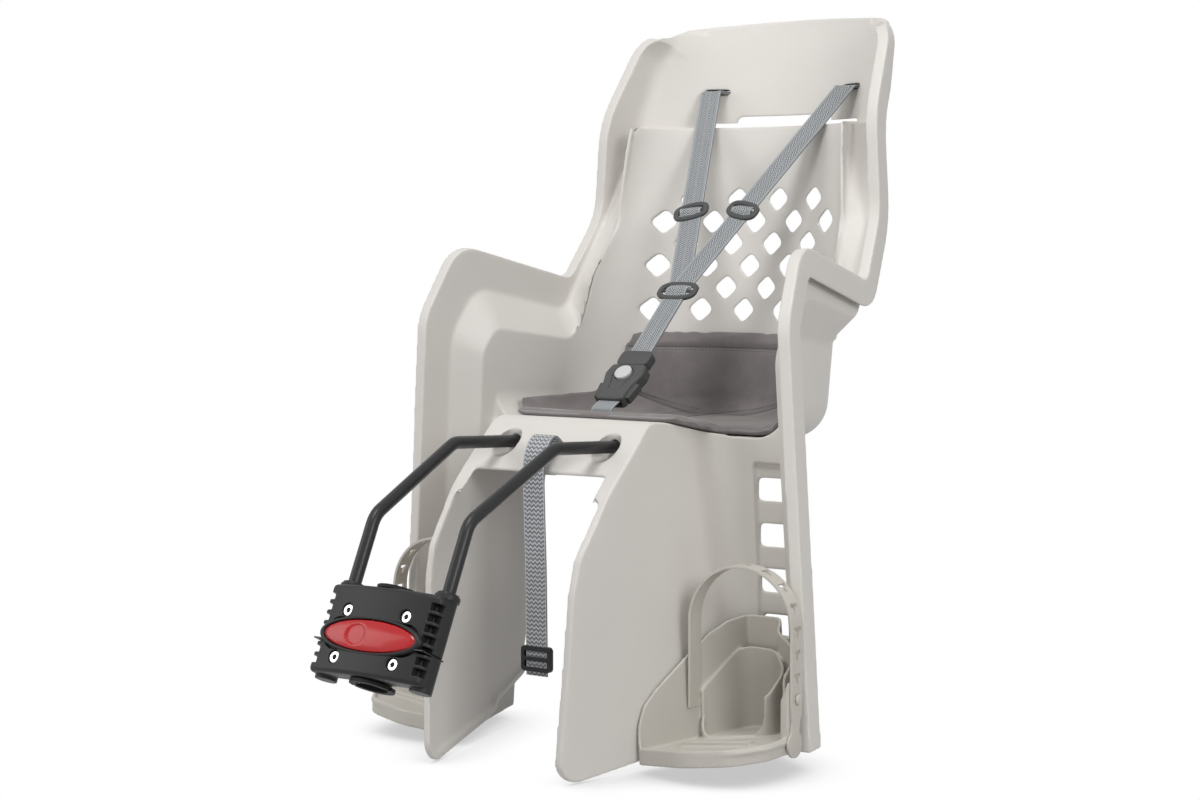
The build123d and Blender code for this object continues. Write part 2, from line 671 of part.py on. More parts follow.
def shoulder_slider(side):
    """Slider that shortens one shoulder strap."""
    start, end = strap_line(side)
    place = along(tuple(start + (end - start) * slider_share), tuple(start), tuple(end))
    return place * slider(38, 22, 2.4, webbing_width + 1.5)


def slider(width, length, opening, passage):
    """Webbing slider, flat in XY with its length along Y: a frame with a tunnel and a middle bar."""
    frame = extrude(RectangleRounded(width, length, 4), opening / 2 + slider_wall, both=True)
    frame = frame - Box(passage, 2 * length, opening)
    for side in (-1, 1):
        window = extrude(RectangleRounded(passage, length / 4, 1.5), far)
        frame = frame - Pos(0, side * length / 5, 0) * window
    return frame


def along(point, start, end):
    """Place on the strap from start to end, its Y along the strap and its Z out of the strap's face."""
    run = Vector(*end) - Vector(*start)
    across = Vector(1, 0, 0)
    out = run.cross(across).normalized()
    across = out.cross(run).normalized()
    return Location(Plane(origin=point, x_dir=across, z_dir=out))


def strap_keeper():
    """Left ladder plate behind the head part, which keeps the shoulder strap from slipping out."""
    plate = extrude(RectangleRounded(keeper_size[0], keeper_size[1], 3), keeper_size[2] / 2, both=True)
    plate = plate - Box(webbing_width + 6, webbing + 2.4, far)
    turn = -strap_top[0] / back_radius
    out = Vector(-turn, cos(turn) * cos(radians(recline)), -cos(turn) * sin(radians(recline)))
    foot = Vector(strap_top[0], strap_top[1] + 1.2, strap_top[2])
    origin = foot + out * (wall + keeper_size[2] / 2 + 0.1)
    origin = Vector(origin.X, origin.Y, strap_top[2])
    return Location(Plane(origin=origin, x_dir=(cos(turn), turn, 0), z_dir=out)) * plate


def buckle_frame():
    """The harness buckle's own frame: X across, Y up along it, Z out of its face."""
    lean = radians(buckle_lean)
    return Location(Plane(origin=buckle_foot, x_dir=(1, 0, 0), z_dir=(0, -sin(lean), cos(lean))))


def buckle_body():
    """Lower half of the harness buckle, with the well of its button and the mouth for the tongue."""
    outline = FilletPolyline(*buckle_outline, *[(-x, y) for x, y in reversed(buckle_outline)], radius=5, close=True)
    body = extrude(make_face(outline), buckle_height / 2, both=True)
    body = fillet(body.faces().sort_by(Axis.Z)[-1].edges(), 3)
    body = body - Pos(0, buckle_split, 0) * Box(tongue_plate[0] + 0.8, 2 * tongue_plate[1] + 0.8, tongue_plate[2] + 0.6)
    body = body - Pos(0, buckle_button_up, 2.2) * Cylinder(buckle_button_radius + 0.4, far, align=seated)
    return body - Box(webbing_width + 1, 18, 4 * webbing)


def buckle_tongue():
    """Upper half of the harness buckle: a plate that enters the body and a head that holds the strap."""
    head = Pos(0, (buckle_split + 0.4 + buckle_length) / 2, 0)
    head = head * Box(tongue_head, buckle_length - buckle_split - 0.4, buckle_height - 3)
    head = fillet(head.edges().filter_by(Axis.Z), 5)
    head = head - Pos(0, buckle_length, 0) * Box(webbing_width + 1, 16, 3 * webbing + 0.4)
    return head + Pos(0, buckle_split - tongue_plate[1] / 2 + 3, 0) * Box(tongue_plate[0], tongue_plate[1] + 6, tongue_plate[2])


def buckle_button():
    """Round release button of the harness buckle."""
    disc = Pos(0, buckle_button_up, 2.2 + buckle_travel) * Cylinder(buckle_button_radius, 4.6, align=seated)
    return fillet(disc.faces().sort_by(Axis.Z)[-1].edges(), 1)


def crotch_strap():
    """Strap from the buckle down through the pad and the pan."""
    low = Pos(0, crotch_slot[1], crotch_level) * Box(webbing_width, webbing, 36)
    foot = (buckle_frame() * Pos(0, 6, 0)).position
    run = between((0, crotch_slot[1], crotch_level + 17.5), tuple(foot), webbing_width, webbing, (1, 0, 0))
    return low + run


def safety_strap():
    """Long strap from the apron that is tied round the bicycle's frame."""
    return Plane.YZ.location * ribbon(safety_path, (8, 14, 60), webbing, webbing_width)


def cup_plan(inset):
    """Plan of the left foot cup, drawn in by inset."""
    face = make_face(FilletPolyline(*cup_corners, radius=cup_radii, close=True))
    return offset(face, -inset) if inset else face


def cup_floor(lift):
    """Everything above the foot cup's sloping floor, raised by lift."""
    plane = Plane(origin=(cup_corners[0][0], 0, cup_low + lift), x_dir=(1, 0, cup_slope), z_dir=(-cup_slope, 0, 1))
    return extrude(plane * Rectangle(4 * far, 4 * far), far)


def foot_cup():
    """Left foot cup: tray, heel cup, strap ear and the tongue that slides in the leg's channel."""
    column = extrude(cup_plan(0), far / 2, both=True) & cup_floor(0)
    hollow = extrude(cup_plan(cup_wall), far / 2, both=True) & cup_floor(cup_wall)
    under = Polyline(cup_top[-1], (cup_top[-1][0], -far), (cup_top[0][0], -far), cup_top[0])
    top = make_face(FilletPolyline(*cup_top, radius=(20, 24)) + under)
    tray = (column - hollow) & extrude(Plane.YZ * top, far)
    outer_side = Box(far, leg_rear, far, align=(Align.MIN, Align.CENTER, Align.MIN))
    tray = tray - Pos(cup_step, cup_rear - leg_rear, cup_lip) * outer_side
    heel = make_face(FilletPolyline(*heel_corners, radius=14, close=True))
    heel_wall = extrude(heel - offset(heel, -cup_wall), far / 2, both=True)
    heel_top = make_face(Polyline(*heel_edge, (heel_edge[-1][0], -far), (heel_edge[0][0], -far), close=True))
    heel_wall = heel_wall & cup_floor(1) & extrude(Plane.YZ * heel_top, far)
    bar = Pos(*cup_bar, cup_low + cup_wall) * Box(44, 7, 10) & cup_floor(1)
    ear = strap_frame() * Pos(strap_span - rubber / 2 - ear_thickness / 2 - 0.1, 0, 0)
    ear = ear * Pos(0, 0, ear_middle) * Box(ear_thickness, rubber_width, ear_height)
    peg_place = strap_frame() * Pos(strap_span, 0, hole_top - peg_hole * hole_pitch)
    ear = ear - peg_place * Rot(0, 90, 0) * Cylinder(peg_radius + 0.05, 40)
    front, rear = cup_rear - cup_wall + 0.5, leg_rear + channel_depth - 0.8
    tongue = Box(tongue_size[0], rear - front, tongue_size[1])
    tongue = Pos(channel_middle - slide_lean * tongue_level, (front + rear) / 2, tongue_level) * tongue
    return tray + heel_wall + bar + (ear & cup_floor(0)) + (tongue & cup_floor(0))


def strap_frame():
    """The left foot strap's own frame: X across the foot, Z up, Y along the foot."""
    x_dir = Vector(strap_outer[0] - strap_inner[0], strap_outer[1] - strap_inner[1], 0)
    return Location(Plane(origin=(strap_inner[0], strap_inner[1], 0), x_dir=x_dir, z_dir=(0, 0, 1)))


def foot_strap():
    """Left rubber strap over the foot, with a row of holes for its peg."""
    band = Rot(90, 0, 0) * ribbon(rubber_path, (20, 24, 30), rubber, rubber_width)
    for hole in range(hole_count):
        level = hole_top - hole * hole_pitch
        band = band - Pos(strap_span, 0, level) * Rot(0, 90, 0) * Cylinder(2.6, 20)
    return strap_frame() * band


def foot_peg():
    """Left mushroom peg that the foot strap is hooked on."""
    level = hole_top - peg_hole * hole_pitch
    stem = Rot(0, 90, 0) * Cylinder(peg_radius, ear_thickness + rubber + 2.6)
    head = Pos((ear_thickness + rubber) / 2 + 1.9, 0, 0) * Rot(0, 90, 0) * Cylinder(4.6, 2.4)
    return strap_frame() * Pos(strap_span - ear_thickness / 2, 0, level) * (stem + head)


def bracket_nodes():
    """The bracket's pieces, moved from its own frame into the seat's frame."""
    front, rear = bracket_halves()
    liner_front, liner_rear = tube_liners()
    pieces = {
        "bracket_front": front,
        "bracket_rear": rear,
        "tube_liner_front": liner_front,
        "tube_liner_rear": liner_rear,
        "release_button": release_button(),
        "latch_plate": latch_plate(),
        "clamp_bolts": clamp_bolts(),
        "clamp_nuts": clamp_nuts(),
    }
    tilt = Pos(*block_origin) * Rot(-block_tilt, 0, 0)
    return {name: tilt * piece for name, piece in pieces.items()}


def harness_nodes():
    """Shoulder straps, sliders, buckle, crotch strap and their keepers."""
    passage = webbing_width + 1.5
    frame = buckle_frame()
    crotch_plate = extrude(RectangleRounded(40, 16, 3), 1.5, both=True)
    crotch_plate = crotch_plate - Box(webbing_width + 1, webbing + 0.6, 20)
    crotch_height = under_pan(crotch_slot[1] + 8) - 1.5
    lock = along((0, *safety_lock), (0, safety_lock[0], 0), (0, safety_lock[0], -far))
    return {
        "shoulder_strap_left": shoulder_strap(1),
        "shoulder_strap_right": shoulder_strap(-1),
        "strap_slider_left": shoulder_slider(1),
        "strap_slider_right": shoulder_slider(-1),
        "strap_slider_lower": along(strap_meet, strap_meet, strap_end) * slider(46, 26, 6.4, 38),
        "lower_strap": between(strap_meet, strap_end, webbing_width, 2 * webbing, (1, 0, 0)),
        "buckle_body": frame * buckle_body(),
        "buckle_tongue": frame * buckle_tongue(),
        "buckle_button": frame * buckle_button(),
        "crotch_strap": crotch_strap(),
        "crotch_keeper": Pos(0, crotch_slot[1], crotch_height) * crotch_plate,
        "safety_strap": safety_strap(),
        "safety_buckle": lock * slider(34, 24, 2.4, passage),
    }


def paired_nodes():
    """Pieces of the left side that have a mirrored twin on the right."""
    return {
        "strap_keeper": strap_keeper(),
        "foot_cup": foot_cup(),
        "foot_strap": foot_strap(),
        "foot_peg": foot_peg(),
    }


def main():
    """Build every piece, move it into the bracket's frame and write it."""
    nodes = {"seat_shell": whole_shell(), "seat_pad": seat_pad(), "carrier_bar": carrier_bar()}
    for name, y in clamp_rows.items():
        nodes["bar_saddle_" + name], nodes["bar_clamp_" + name] = bar_clamp(y)
        nodes["bar_clamp_screws_" + name] = clamp_screws(y)
    nodes.update(bracket_nodes())
    nodes.update(harness_nodes())
    for name, node in paired_nodes().items():
        nodes[name + "_left"] = node
        nodes[name + "_right"] = mirror(node, Plane.YZ)
    to_clamp = Pos(*[-step for step in block_origin])
    for name, node in nodes.items():
        export_step(to_clamp * node, "parts/" + name + ".step")


main()
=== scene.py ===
"""Looks of a child bicycle seat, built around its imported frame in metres."""

import logging
import math
from dataclasses import dataclass, field
from enum import Enum
from functools import cache

import bmesh
import bpy
from mathutils import Matrix, Vector
from mathutils.bvhtree import BVHTree


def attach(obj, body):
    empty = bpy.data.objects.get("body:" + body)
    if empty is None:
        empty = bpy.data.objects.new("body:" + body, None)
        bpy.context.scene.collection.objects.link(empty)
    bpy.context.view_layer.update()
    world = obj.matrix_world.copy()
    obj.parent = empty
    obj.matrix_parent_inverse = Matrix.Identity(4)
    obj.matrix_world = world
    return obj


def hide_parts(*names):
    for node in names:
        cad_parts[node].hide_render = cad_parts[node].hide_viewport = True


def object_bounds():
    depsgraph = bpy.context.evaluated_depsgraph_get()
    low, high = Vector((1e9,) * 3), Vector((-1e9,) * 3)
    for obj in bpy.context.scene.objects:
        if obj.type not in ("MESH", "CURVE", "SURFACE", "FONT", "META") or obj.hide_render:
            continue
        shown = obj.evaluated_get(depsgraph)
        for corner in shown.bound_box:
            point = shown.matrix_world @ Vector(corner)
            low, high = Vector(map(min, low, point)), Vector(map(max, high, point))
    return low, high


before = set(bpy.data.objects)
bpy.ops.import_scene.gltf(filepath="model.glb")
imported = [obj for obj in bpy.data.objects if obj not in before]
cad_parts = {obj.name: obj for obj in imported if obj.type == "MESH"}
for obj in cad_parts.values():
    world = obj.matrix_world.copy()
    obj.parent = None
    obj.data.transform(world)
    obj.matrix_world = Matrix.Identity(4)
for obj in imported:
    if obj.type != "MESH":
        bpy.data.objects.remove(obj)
cad_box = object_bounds()
log = logging.getLogger("child_seat")

Colour = tuple[float, float, float]
Point = tuple[float, float, float]
Outline = list[tuple[float, float]]

SEAT_ORIGIN = Vector((0.0, 0.2626, 0.1504))
ACROSS = Vector((1.0, 0.0, 0.0))
UP = Vector((0.0, 0.0, 1.0))
WHITE = (1.0, 1.0, 1.0, 1.0)
CORNER_STEPS = 8


def seat(x: float, y: float, z: float) -> Vector:
    """Place in the frame of a point given in millimetres from the middle of the pan's front."""
    return Vector((x, y, z)) / 1000.0 + SEAT_ORIGIN


class Side(Enum):
    """The child's left and right."""

    LEFT = 1
    RIGHT = -1

    @property
    def word(self) -> str:
        """Word for this side in node names."""
        return self.name.lower()


class Nodes:
    """Adds and links the nodes of one shader tree."""

    def __init__(self, tree: bpy.types.NodeTree) -> None:
        """Keep the tree that is written to."""
        self.tree = tree

    def feed(self, socket: bpy.types.NodeSocket, value: object) -> None:
        """Link a socket to another one, or set its value."""
        if isinstance(value, bpy.types.NodeSocket):
            self.tree.links.new(value, socket)
        elif value is not None:
            socket.default_value = value

    def fill(self, node: bpy.types.Node, values: dict[str | int, object]) -> None:
        """Link or set some sockets of a node, by name or number."""
        for key, value in values.items():
            self.feed(node.inputs[key], value)

    def add(
        self, kind: str, values: dict[str | int, object] | None = None, **settings: object
    ) -> bpy.types.Node:
        """Add one node.

        Args:
            kind: Type of the node without its prefix.
            values: What goes into its sockets, by name or number.
            settings: Properties of the node.

        Returns:
            The new node.
        """
        node = self.tree.nodes.new("ShaderNode" + kind)
        for key, value in settings.items():
            setattr(node, key, value)
        self.fill(node, values or {})
        return node

    def math(self, operation: str, *values: object) -> bpy.types.NodeSocket:
        """Add a Math node and return its result."""
        node = self.add("Math", dict(enumerate(values)), operation=operation)
        return node.outputs[0]

    def mix(self, factor: object, first: object, second: object) -> bpy.types.NodeSocket:
        """Add a colour mix and return its result."""
        node = self.add("Mix", {0: factor, 6: first, 7: second}, data_type="RGBA")
        return node.outputs[2]

    def spread(
        self, value: object, low: float, high: float, start: float = 0.0, end: float = 1.0
    ) -> bpy.types.NodeSocket:
        """Map low to high onto start to end and return the result."""
        node = self.add("MapRange", {0: value, 1: low, 2: high, 3: start, 4: end})
        return node.outputs[0]


def new_group(
    name: str, inputs: dict[str, float], outputs: dict[str, str]
) -> tuple[Nodes, bpy.types.NodeOutputs, bpy.types.NodeInputs]:
    """Make an empty shader group.

    Args:
        name: Name of the group.
        inputs: Its number inputs with their usual values.
        outputs: Its outputs with the kind of each.

    Returns:
        The writer of the group's nodes, what comes into it and what goes out of it.
    """
    tree = bpy.data.node_groups.new(name, "ShaderNodeTree")
    for socket, value in inputs.items():
        made = tree.interface.new_socket(name=socket, in_out="INPUT", socket_type="NodeSocketFloat")
        made.default_value = value
    for socket, kind in outputs.items():
        tree.interface.new_socket(name=socket, in_out="OUTPUT", socket_type="NodeSocket" + kind)
    start = tree.nodes.new("NodeGroupInput")
    end = tree.nodes.new("NodeGroupOutput")
    return Nodes(tree), start.outputs, end.inputs


@cache
def grain_group() -> bpy.types.NodeTree:
    """Fine moulded grain with a slow drift of tone, read from the piece's own coordinates."""
    outputs = {"Height": "Float", "Tone": "Float", "Speckle": "Float"}
    nodes, start, end = new_group("Moulded grain", {"Grains": 900.0, "Drift": 9.0}, outputs)
    place = nodes.add("TexCoord").outputs["Object"]
    grains = {"Vector": place, "Scale": start["Grains"]}
    fine = nodes.add("TexNoise", {**grains, "Detail": 3.0, "Roughness": 0.6})
    cells = nodes.add("TexVoronoi", grains, feature="SMOOTH_F1")
    height = nodes.math("MULTIPLY_ADD", cells.outputs["Distance"], 0.5, fine.outputs[0])
    slow = nodes.add("TexNoise", {"Vector": place, "Scale": start["Drift"], "Detail": 2.0})
    coarse = nodes.math("MULTIPLY", start["Grains"], 0.35)
    speckle = nodes.add("TexNoise", {"Vector": place, "Scale": coarse, "Detail": 2.0})
    nodes.feed(end["Height"], height)
    nodes.feed(end["Tone"], slow.outputs[0])
    nodes.feed(end["Speckle"], speckle.outputs[0])
    return nodes.tree


@cache
def edge_group() -> bpy.types.NodeTree:
    """Softened edges: a rounded normal, and a mask of where it leaves the true one."""
    outputs = {"Normal": "Vector", "Edge": "Float"}
    nodes, start, end = new_group("Soft edge", {"Radius": 0.0006}, outputs)
    rounded = nodes.add("Bevel", {"Radius": start["Radius"]}, samples=6).outputs[0]
    true_normal = nodes.add("NewGeometry").outputs["Normal"]
    alike = nodes.add("VectorMath", {0: rounded, 1: true_normal}, operation="DOT_PRODUCT").outputs["Value"]
    nodes.feed(end["Normal"], rounded)
    nodes.feed(end["Edge"], nodes.spread(alike, 0.99, 0.72))
    return nodes.tree


@cache
def weave_group() -> bpy.types.NodeTree:
    """Herringbone webbing, read from a map with metres across and along the strap."""
    inputs = {"Width": 0.025, "Columns": 5.0, "Pitch": 0.0026}
    outputs = {"Height": "Float", "Thread": "Float", "Selvedge": "Float", "Edge line": "Float"}
    nodes, start, end = new_group("Herringbone weave", inputs, outputs)
    place = nodes.add("UVMap", uv_map="Strap").outputs[0]
    split = nodes.add("SeparateXYZ", {0: place}).outputs
    share = nodes.math("DIVIDE", split[0], start["Width"])
    column = nodes.math("MULTIPLY", share, start["Columns"])
    zigzag = nodes.math("PINGPONG", column, 1.0)
    column_width = nodes.math("DIVIDE", start["Width"], start["Columns"])
    slant = nodes.math("MULTIPLY", zigzag, column_width)
    along = nodes.math("ADD", split[1], slant)
    turn = nodes.math("MULTIPLY", nodes.math("DIVIDE", along, start["Pitch"]), 2.0 * math.pi)
    ridge = nodes.math("MULTIPLY_ADD", nodes.math("SINE", turn), 0.5, 0.5)
    strand_pitch = 0.0008
    strand = nodes.math("SINE", nodes.math("MULTIPLY", split[0], 2.0 * math.pi / strand_pitch))
    strand = nodes.math("MULTIPLY_ADD", strand, 0.22, 0.78)
    fibre = nodes.add("TexNoise", {"Vector": place, "Scale": 2600.0, "Detail": 2.0}).outputs[0]
    crease = nodes.math("ABSOLUTE", nodes.math("SUBTRACT", nodes.math("FRACT", column), 0.5))
    crease = nodes.spread(crease, 0.42, 0.5, 1.0, 0.6)
    rim = nodes.math("ABSOLUTE", nodes.math("SUBTRACT", share, 0.5))
    selvedge = nodes.spread(rim, 0.43, 0.45)
    off_line = nodes.math("ABSOLUTE", nodes.math("SUBTRACT", rim, 0.455))
    height = nodes.math("MULTIPLY", nodes.math("MULTIPLY_ADD", fibre, 0.35, ridge), crease)
    thread = nodes.math("MULTIPLY", nodes.math("MULTIPLY", ridge, crease), strand)
    nodes.feed(end["Height"], height)
    nodes.feed(end["Thread"], thread)
    nodes.feed(end["Selvedge"], selvedge)
    nodes.feed(end["Edge line"], nodes.spread(off_line, 0.0, 0.022, 1.0, 0.0))
    return nodes.tree


def new_material(name: str) -> tuple[bpy.types.Material, Nodes, bpy.types.Node]:
    """Make a material with one Principled surface.

    Args:
        name: Name of the material.

    Returns:
        The material, the writer of its nodes and its surface node.
    """
    material = bpy.data.materials.new(name)
    material.use_nodes = True
    nodes = Nodes(material.node_tree)
    return material, nodes, material.node_tree.nodes["Principled BSDF"]


def shade(colour: Colour, factor: float) -> tuple[float, float, float, float]:
    """Colour made darker or lighter, with full cover."""
    return (*[min(1.0, part * factor) for part in colour], 1.0)


@dataclass(frozen=True)
class MouldedPlastic:
    """Moulded plastic or paint with fine grain, soft edges and slight wear along them."""

    name: str
    colour: Colour
    roughness: float
    grains: float = 900.0
    relief: float = 0.00003
    edge: float = 0.0006
    drift: float = 0.05
    worn: float = 1.15
    shine: float = 0.5
    coat: float = 0.0

    def make(self) -> bpy.types.Material:
        """Build the material."""
        material, nodes, surface = new_material(self.name)
        grain = nodes.add("Group", node_tree=grain_group())
        nodes.fill(grain, {"Grains": self.grains})
        soft = nodes.add("Group", node_tree=edge_group())
        nodes.fill(soft, {"Radius": self.edge})
        tone = nodes.spread(grain.outputs["Tone"], 0.3, 0.7)
        dark = shade(self.colour, 1.0 - self.drift)
        light = shade(self.colour, 1.0 + self.drift)
        base = nodes.mix(tone, dark, light)
        speck = nodes.spread(grain.outputs["Speckle"], 0.35, 0.65, 0.0, 0.5)
        base = nodes.mix(speck, base, shade(self.colour, 1.0 - 0.8 * self.drift))
        wear = nodes.math("MULTIPLY", soft.outputs["Edge"], 0.6)
        height = grain.outputs["Height"]
        relief = {"Strength": 1.0, "Distance": self.relief, "Height": height}
        bump = nodes.add("Bump", {**relief, "Normal": soft.outputs["Normal"]})
        looks = {
            "Base Color": nodes.mix(wear, base, shade(self.colour, self.worn)),
            "Roughness": nodes.spread(height, 0.3, 1.0, self.roughness - 0.05, self.roughness + 0.07),
            "Normal": bump.outputs[0],
            "Specular IOR Level": self.shine,
            "Coat Weight": self.coat,
            "Coat Roughness": 0.08,
        }
        nodes.fill(surface, looks)
        return material


@dataclass(frozen=True)
class PlatedSteel:
    """Bright plated steel with faint turning marks."""

    name: str
    colour: Colour
    roughness: float

    def make(self) -> bpy.types.Material:
        """Build the material."""
        material, nodes, surface = new_material(self.name)
        grain = nodes.add("Group", node_tree=grain_group())
        nodes.fill(grain, {"Grains": 2200.0})
        soft = nodes.add("Group", node_tree=edge_group())
        nodes.fill(soft, {"Radius": 0.0005})
        tone = nodes.spread(grain.outputs["Speckle"], 0.3, 0.7)
        height = grain.outputs["Height"]
        looks = {
            "Base Color": nodes.mix(tone, shade(self.colour, 0.9), shade(self.colour, 1.05)),
            "Roughness": nodes.spread(height, 0.3, 1.0, self.roughness - 0.06, self.roughness + 0.08),
            "Metallic": 1.0,
            "Normal": soft.outputs["Normal"],
        }
        nodes.fill(surface, looks)
        return material


@dataclass(frozen=True)
class Webbing:
    """Woven webbing in two greys with pale thread ridges and a pale line along each edge."""

    name: str
    dark: Colour
    light: Colour
    columns: float = 5.0
    pitch: float = 0.0026

    def make(self) -> bpy.types.Material:
        """Build the material."""
        material, nodes, surface = new_material(self.name)
        weave = nodes.add("Group", node_tree=weave_group())
        nodes.fill(weave, {"Columns": self.columns, "Pitch": self.pitch})
        thread = nodes.spread(weave.outputs["Thread"], 0.4, 0.8)
        base = nodes.mix(thread, (*self.dark, 1.0), (*self.light, 1.0))
        base = nodes.mix(weave.outputs["Selvedge"], base, shade(self.dark, 1.35))
        line = nodes.math("MULTIPLY", weave.outputs["Edge line"], 0.8)
        height = weave.outputs["Height"]
        bump = nodes.add("Bump", {"Strength": 0.8, "Distance": 0.0003, "Height": height})
        looks = {
            "Base Color": nodes.mix(line, base, (*self.light, 1.0)),
            "Normal": bump.outputs[0],
            "Roughness": nodes.spread(height, 0.0, 1.2, 0.85, 0.6),
            "Sheen Weight": 0.2,
            "Sheen Roughness": 0.5,
        }
        nodes.fill(surface, looks)
        return material


@dataclass(frozen=True)
class Nubuck:
    """Napped cloth with soft cloudy shading where the nap lies over, and a paler binding at its edge."""

    name: str
    colour: Colour
    binding: Colour

    def make(self) -> bpy.types.Material:
        """Build the material."""
        material, nodes, surface = new_material(self.name)
        place = nodes.add("TexCoord").outputs["Object"]
        clouds = {"Vector": place, "Scale": 34.0, "Detail": 5.0, "Roughness": 0.65}
        cloud = nodes.add("TexNoise", clouds).outputs[0]
        hairs = {"Vector": place, "Scale": 1500.0, "Detail": 3.0, "Roughness": 0.7}
        nap = nodes.add("TexNoise", hairs).outputs[0]
        tone = nodes.spread(cloud, 0.3, 0.7)
        base = nodes.mix(tone, shade(self.colour, 0.84), shade(self.colour, 1.16))
        fleck = nodes.spread(nap, 0.4, 0.7, 0.0, 0.4)
        base = nodes.mix(fleck, base, shade(self.colour, 1.35))
        ribs = {"Vector": place, "Scale": 260.0, "Distortion": 1.0}
        rib = nodes.add("TexWave", ribs, bands_direction="DIAGONAL")
        tape = nodes.mix(rib.outputs["Fac"], shade(self.binding, 0.75), shade(self.binding, 1.15))
        edge = nodes.add("Attribute", attribute_name="binding").outputs["Fac"]
        base = nodes.mix(edge, base, tape)
        seam = nodes.add("Attribute", attribute_name="seam").outputs["Fac"]
        bump = nodes.add("Bump", {"Strength": 0.7, "Distance": 0.0002, "Height": nap})
        looks = {
            "Base Color": nodes.mix(seam, base, shade(self.colour, 0.5)),
            "Normal": bump.outputs[0],
            "Roughness": nodes.spread(nap, 0.2, 0.8, 0.82, 0.97),
            "Sheen Weight": 0.3,
            "Sheen Roughness": 0.45,
            "Specular IOR Level": 0.2,
        }
        nodes.fill(surface, looks)
        return material


Finish = MouldedPlastic | PlatedSteel | Webbing | Nubuck

SHELL_PLASTIC = MouldedPlastic(
    "Pale shell plastic", (0.66, 0.635, 0.6), 0.5, grains=1000.0, edge=0.0012, drift=0.025, worn=1.04
)
CUP_PLASTIC = MouldedPlastic(
    "Pale cup plastic", (0.52, 0.495, 0.45), 0.5, grains=1000.0, edge=0.0008, drift=0.03, worn=1.05
)
PALE_RUBBER = MouldedPlastic(
    "Pale strap rubber", (0.54, 0.51, 0.46), 0.55, 1400.0, relief=0.00002, edge=0.0005, drift=0.03, worn=1.05
)
BLACK_PLASTIC = MouldedPlastic(
    "Black bracket plastic", (0.016, 0.016, 0.017), 0.42, 1300.0, edge=0.0007, drift=0.2, worn=2.6, shine=0.25
)
GREY_PLASTIC = MouldedPlastic(
    "Dark buckle plastic", (0.06, 0.062, 0.061), 0.45, 1400.0, relief=0.00002, drift=0.12, worn=1.7, shine=0.3
)
SATIN_BLACK = MouldedPlastic(
    "Satin black paint",
    (0.016, 0.016, 0.017),
    0.33,
    1600.0,
    relief=0.00002,
    edge=0.0004,
    drift=0.15,
    worn=2.0,
    shine=0.3,
)
RED_PLASTIC = MouldedPlastic(
    "Red button plastic",
    (0.42, 0.008, 0.011),
    0.2,
    700.0,
    relief=0.0,
    edge=0.0004,
    drift=0.06,
    worn=1.1,
    shine=0.3,
    coat=0.15,
)
PALE_BUTTON = MouldedPlastic(
    "Silver button plastic",
    (0.55, 0.55, 0.55),
    0.3,
    1500.0,
    relief=0.00001,
    edge=0.0005,
    drift=0.04,
    worn=1.1,
)
BLACK_RUBBER = MouldedPlastic(
    "Black liner rubber",
    (0.012, 0.012, 0.012),
    0.6,
    relief=0.00004,
    edge=0.0004,
    drift=0.2,
    worn=2.0,
    shine=0.2,
)
BRIGHT_STEEL = PlatedSteel("Plated steel", (0.66, 0.66, 0.65), 0.26)
DARK_STEEL = PlatedSteel("Blackened steel", (0.05, 0.05, 0.052), 0.4)
GREY_WEBBING = Webbing("Grey harness webbing", (0.12, 0.13, 0.14), (0.62, 0.65, 0.66))
TIE_WEBBING = Webbing("Grey tie webbing", (0.17, 0.176, 0.19), (0.7, 0.72, 0.74), columns=10.0, pitch=0.0042)
DARK_NUBUCK = Nubuck("Dark cushion nubuck", (0.2, 0.184, 0.18), binding=(0.3, 0.3, 0.3))
THREAD = MouldedPlastic(
    "Cushion thread", (0.07, 0.065, 0.065), 0.7, 3000.0, relief=0.00002, edge=0.0001, drift=0.15, worn=1.4
)


@cache
def finish_of(finish: Finish) -> bpy.types.Material:
    """Material of a finish, made once."""
    return finish.make()


def dress(piece: bpy.types.Object, finish: Finish) -> None:
    """Give a piece one finish."""
    piece.data.materials.clear()
    piece.data.materials.append(finish_of(finish))


def dress_nodes(finish: Finish, *nodes: str) -> None:
    """Give some nodes of the frame one finish."""
    for node in nodes:
        dress(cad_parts[node], finish)
        log.info("dressed %s", node)


def seat_piece(piece: bpy.types.Object, finish: Finish, body: str, slot: str, *nodes: str) -> None:
    """Dress a built piece and make it ride on its body in place of nodes.

    Args:
        piece: The built piece.
        finish: Its finish.
        body: Body that it moves with.
        slot: The record's material slot; not used.
        nodes: Nodes that it stands for.
    """
    dress(piece, finish)
    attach(piece, body)
    if nodes:
        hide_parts(*nodes)
    log.info("built %s on %s", piece.name, body)


def link_new(name: str, data: bpy.types.ID) -> bpy.types.Object:
    """Link some data as a new object at the origin."""
    made = bpy.data.objects.new(name, data)
    bpy.context.scene.collection.objects.link(made)
    return made


def new_piece(name: str, mesh: bpy.types.Mesh) -> bpy.types.Object:
    """Link a mesh as a new piece with smooth faces."""
    mesh.shade_smooth()
    return link_new(name, mesh)


def evaluated_mesh(holder: bpy.types.Object) -> bpy.types.Mesh:
    """Plain mesh of what an object shows with its modifiers."""
    graph = bpy.context.evaluated_depsgraph_get()
    return bpy.data.meshes.new_from_object(holder.evaluated_get(graph))


def settle(piece: bpy.types.Object) -> None:
    """Turn a piece and its modifiers into one plain mesh."""
    made = evaluated_mesh(piece)
    piece.modifiers.clear()
    piece.data = made


def use_cells(piece: bpy.types.Object, voxel: float) -> None:
    """Rebuild a closed piece from even cells."""
    cells = piece.modifiers.new("cells", "REMESH")
    cells.mode = "VOXEL"
    cells.voxel_size = voxel


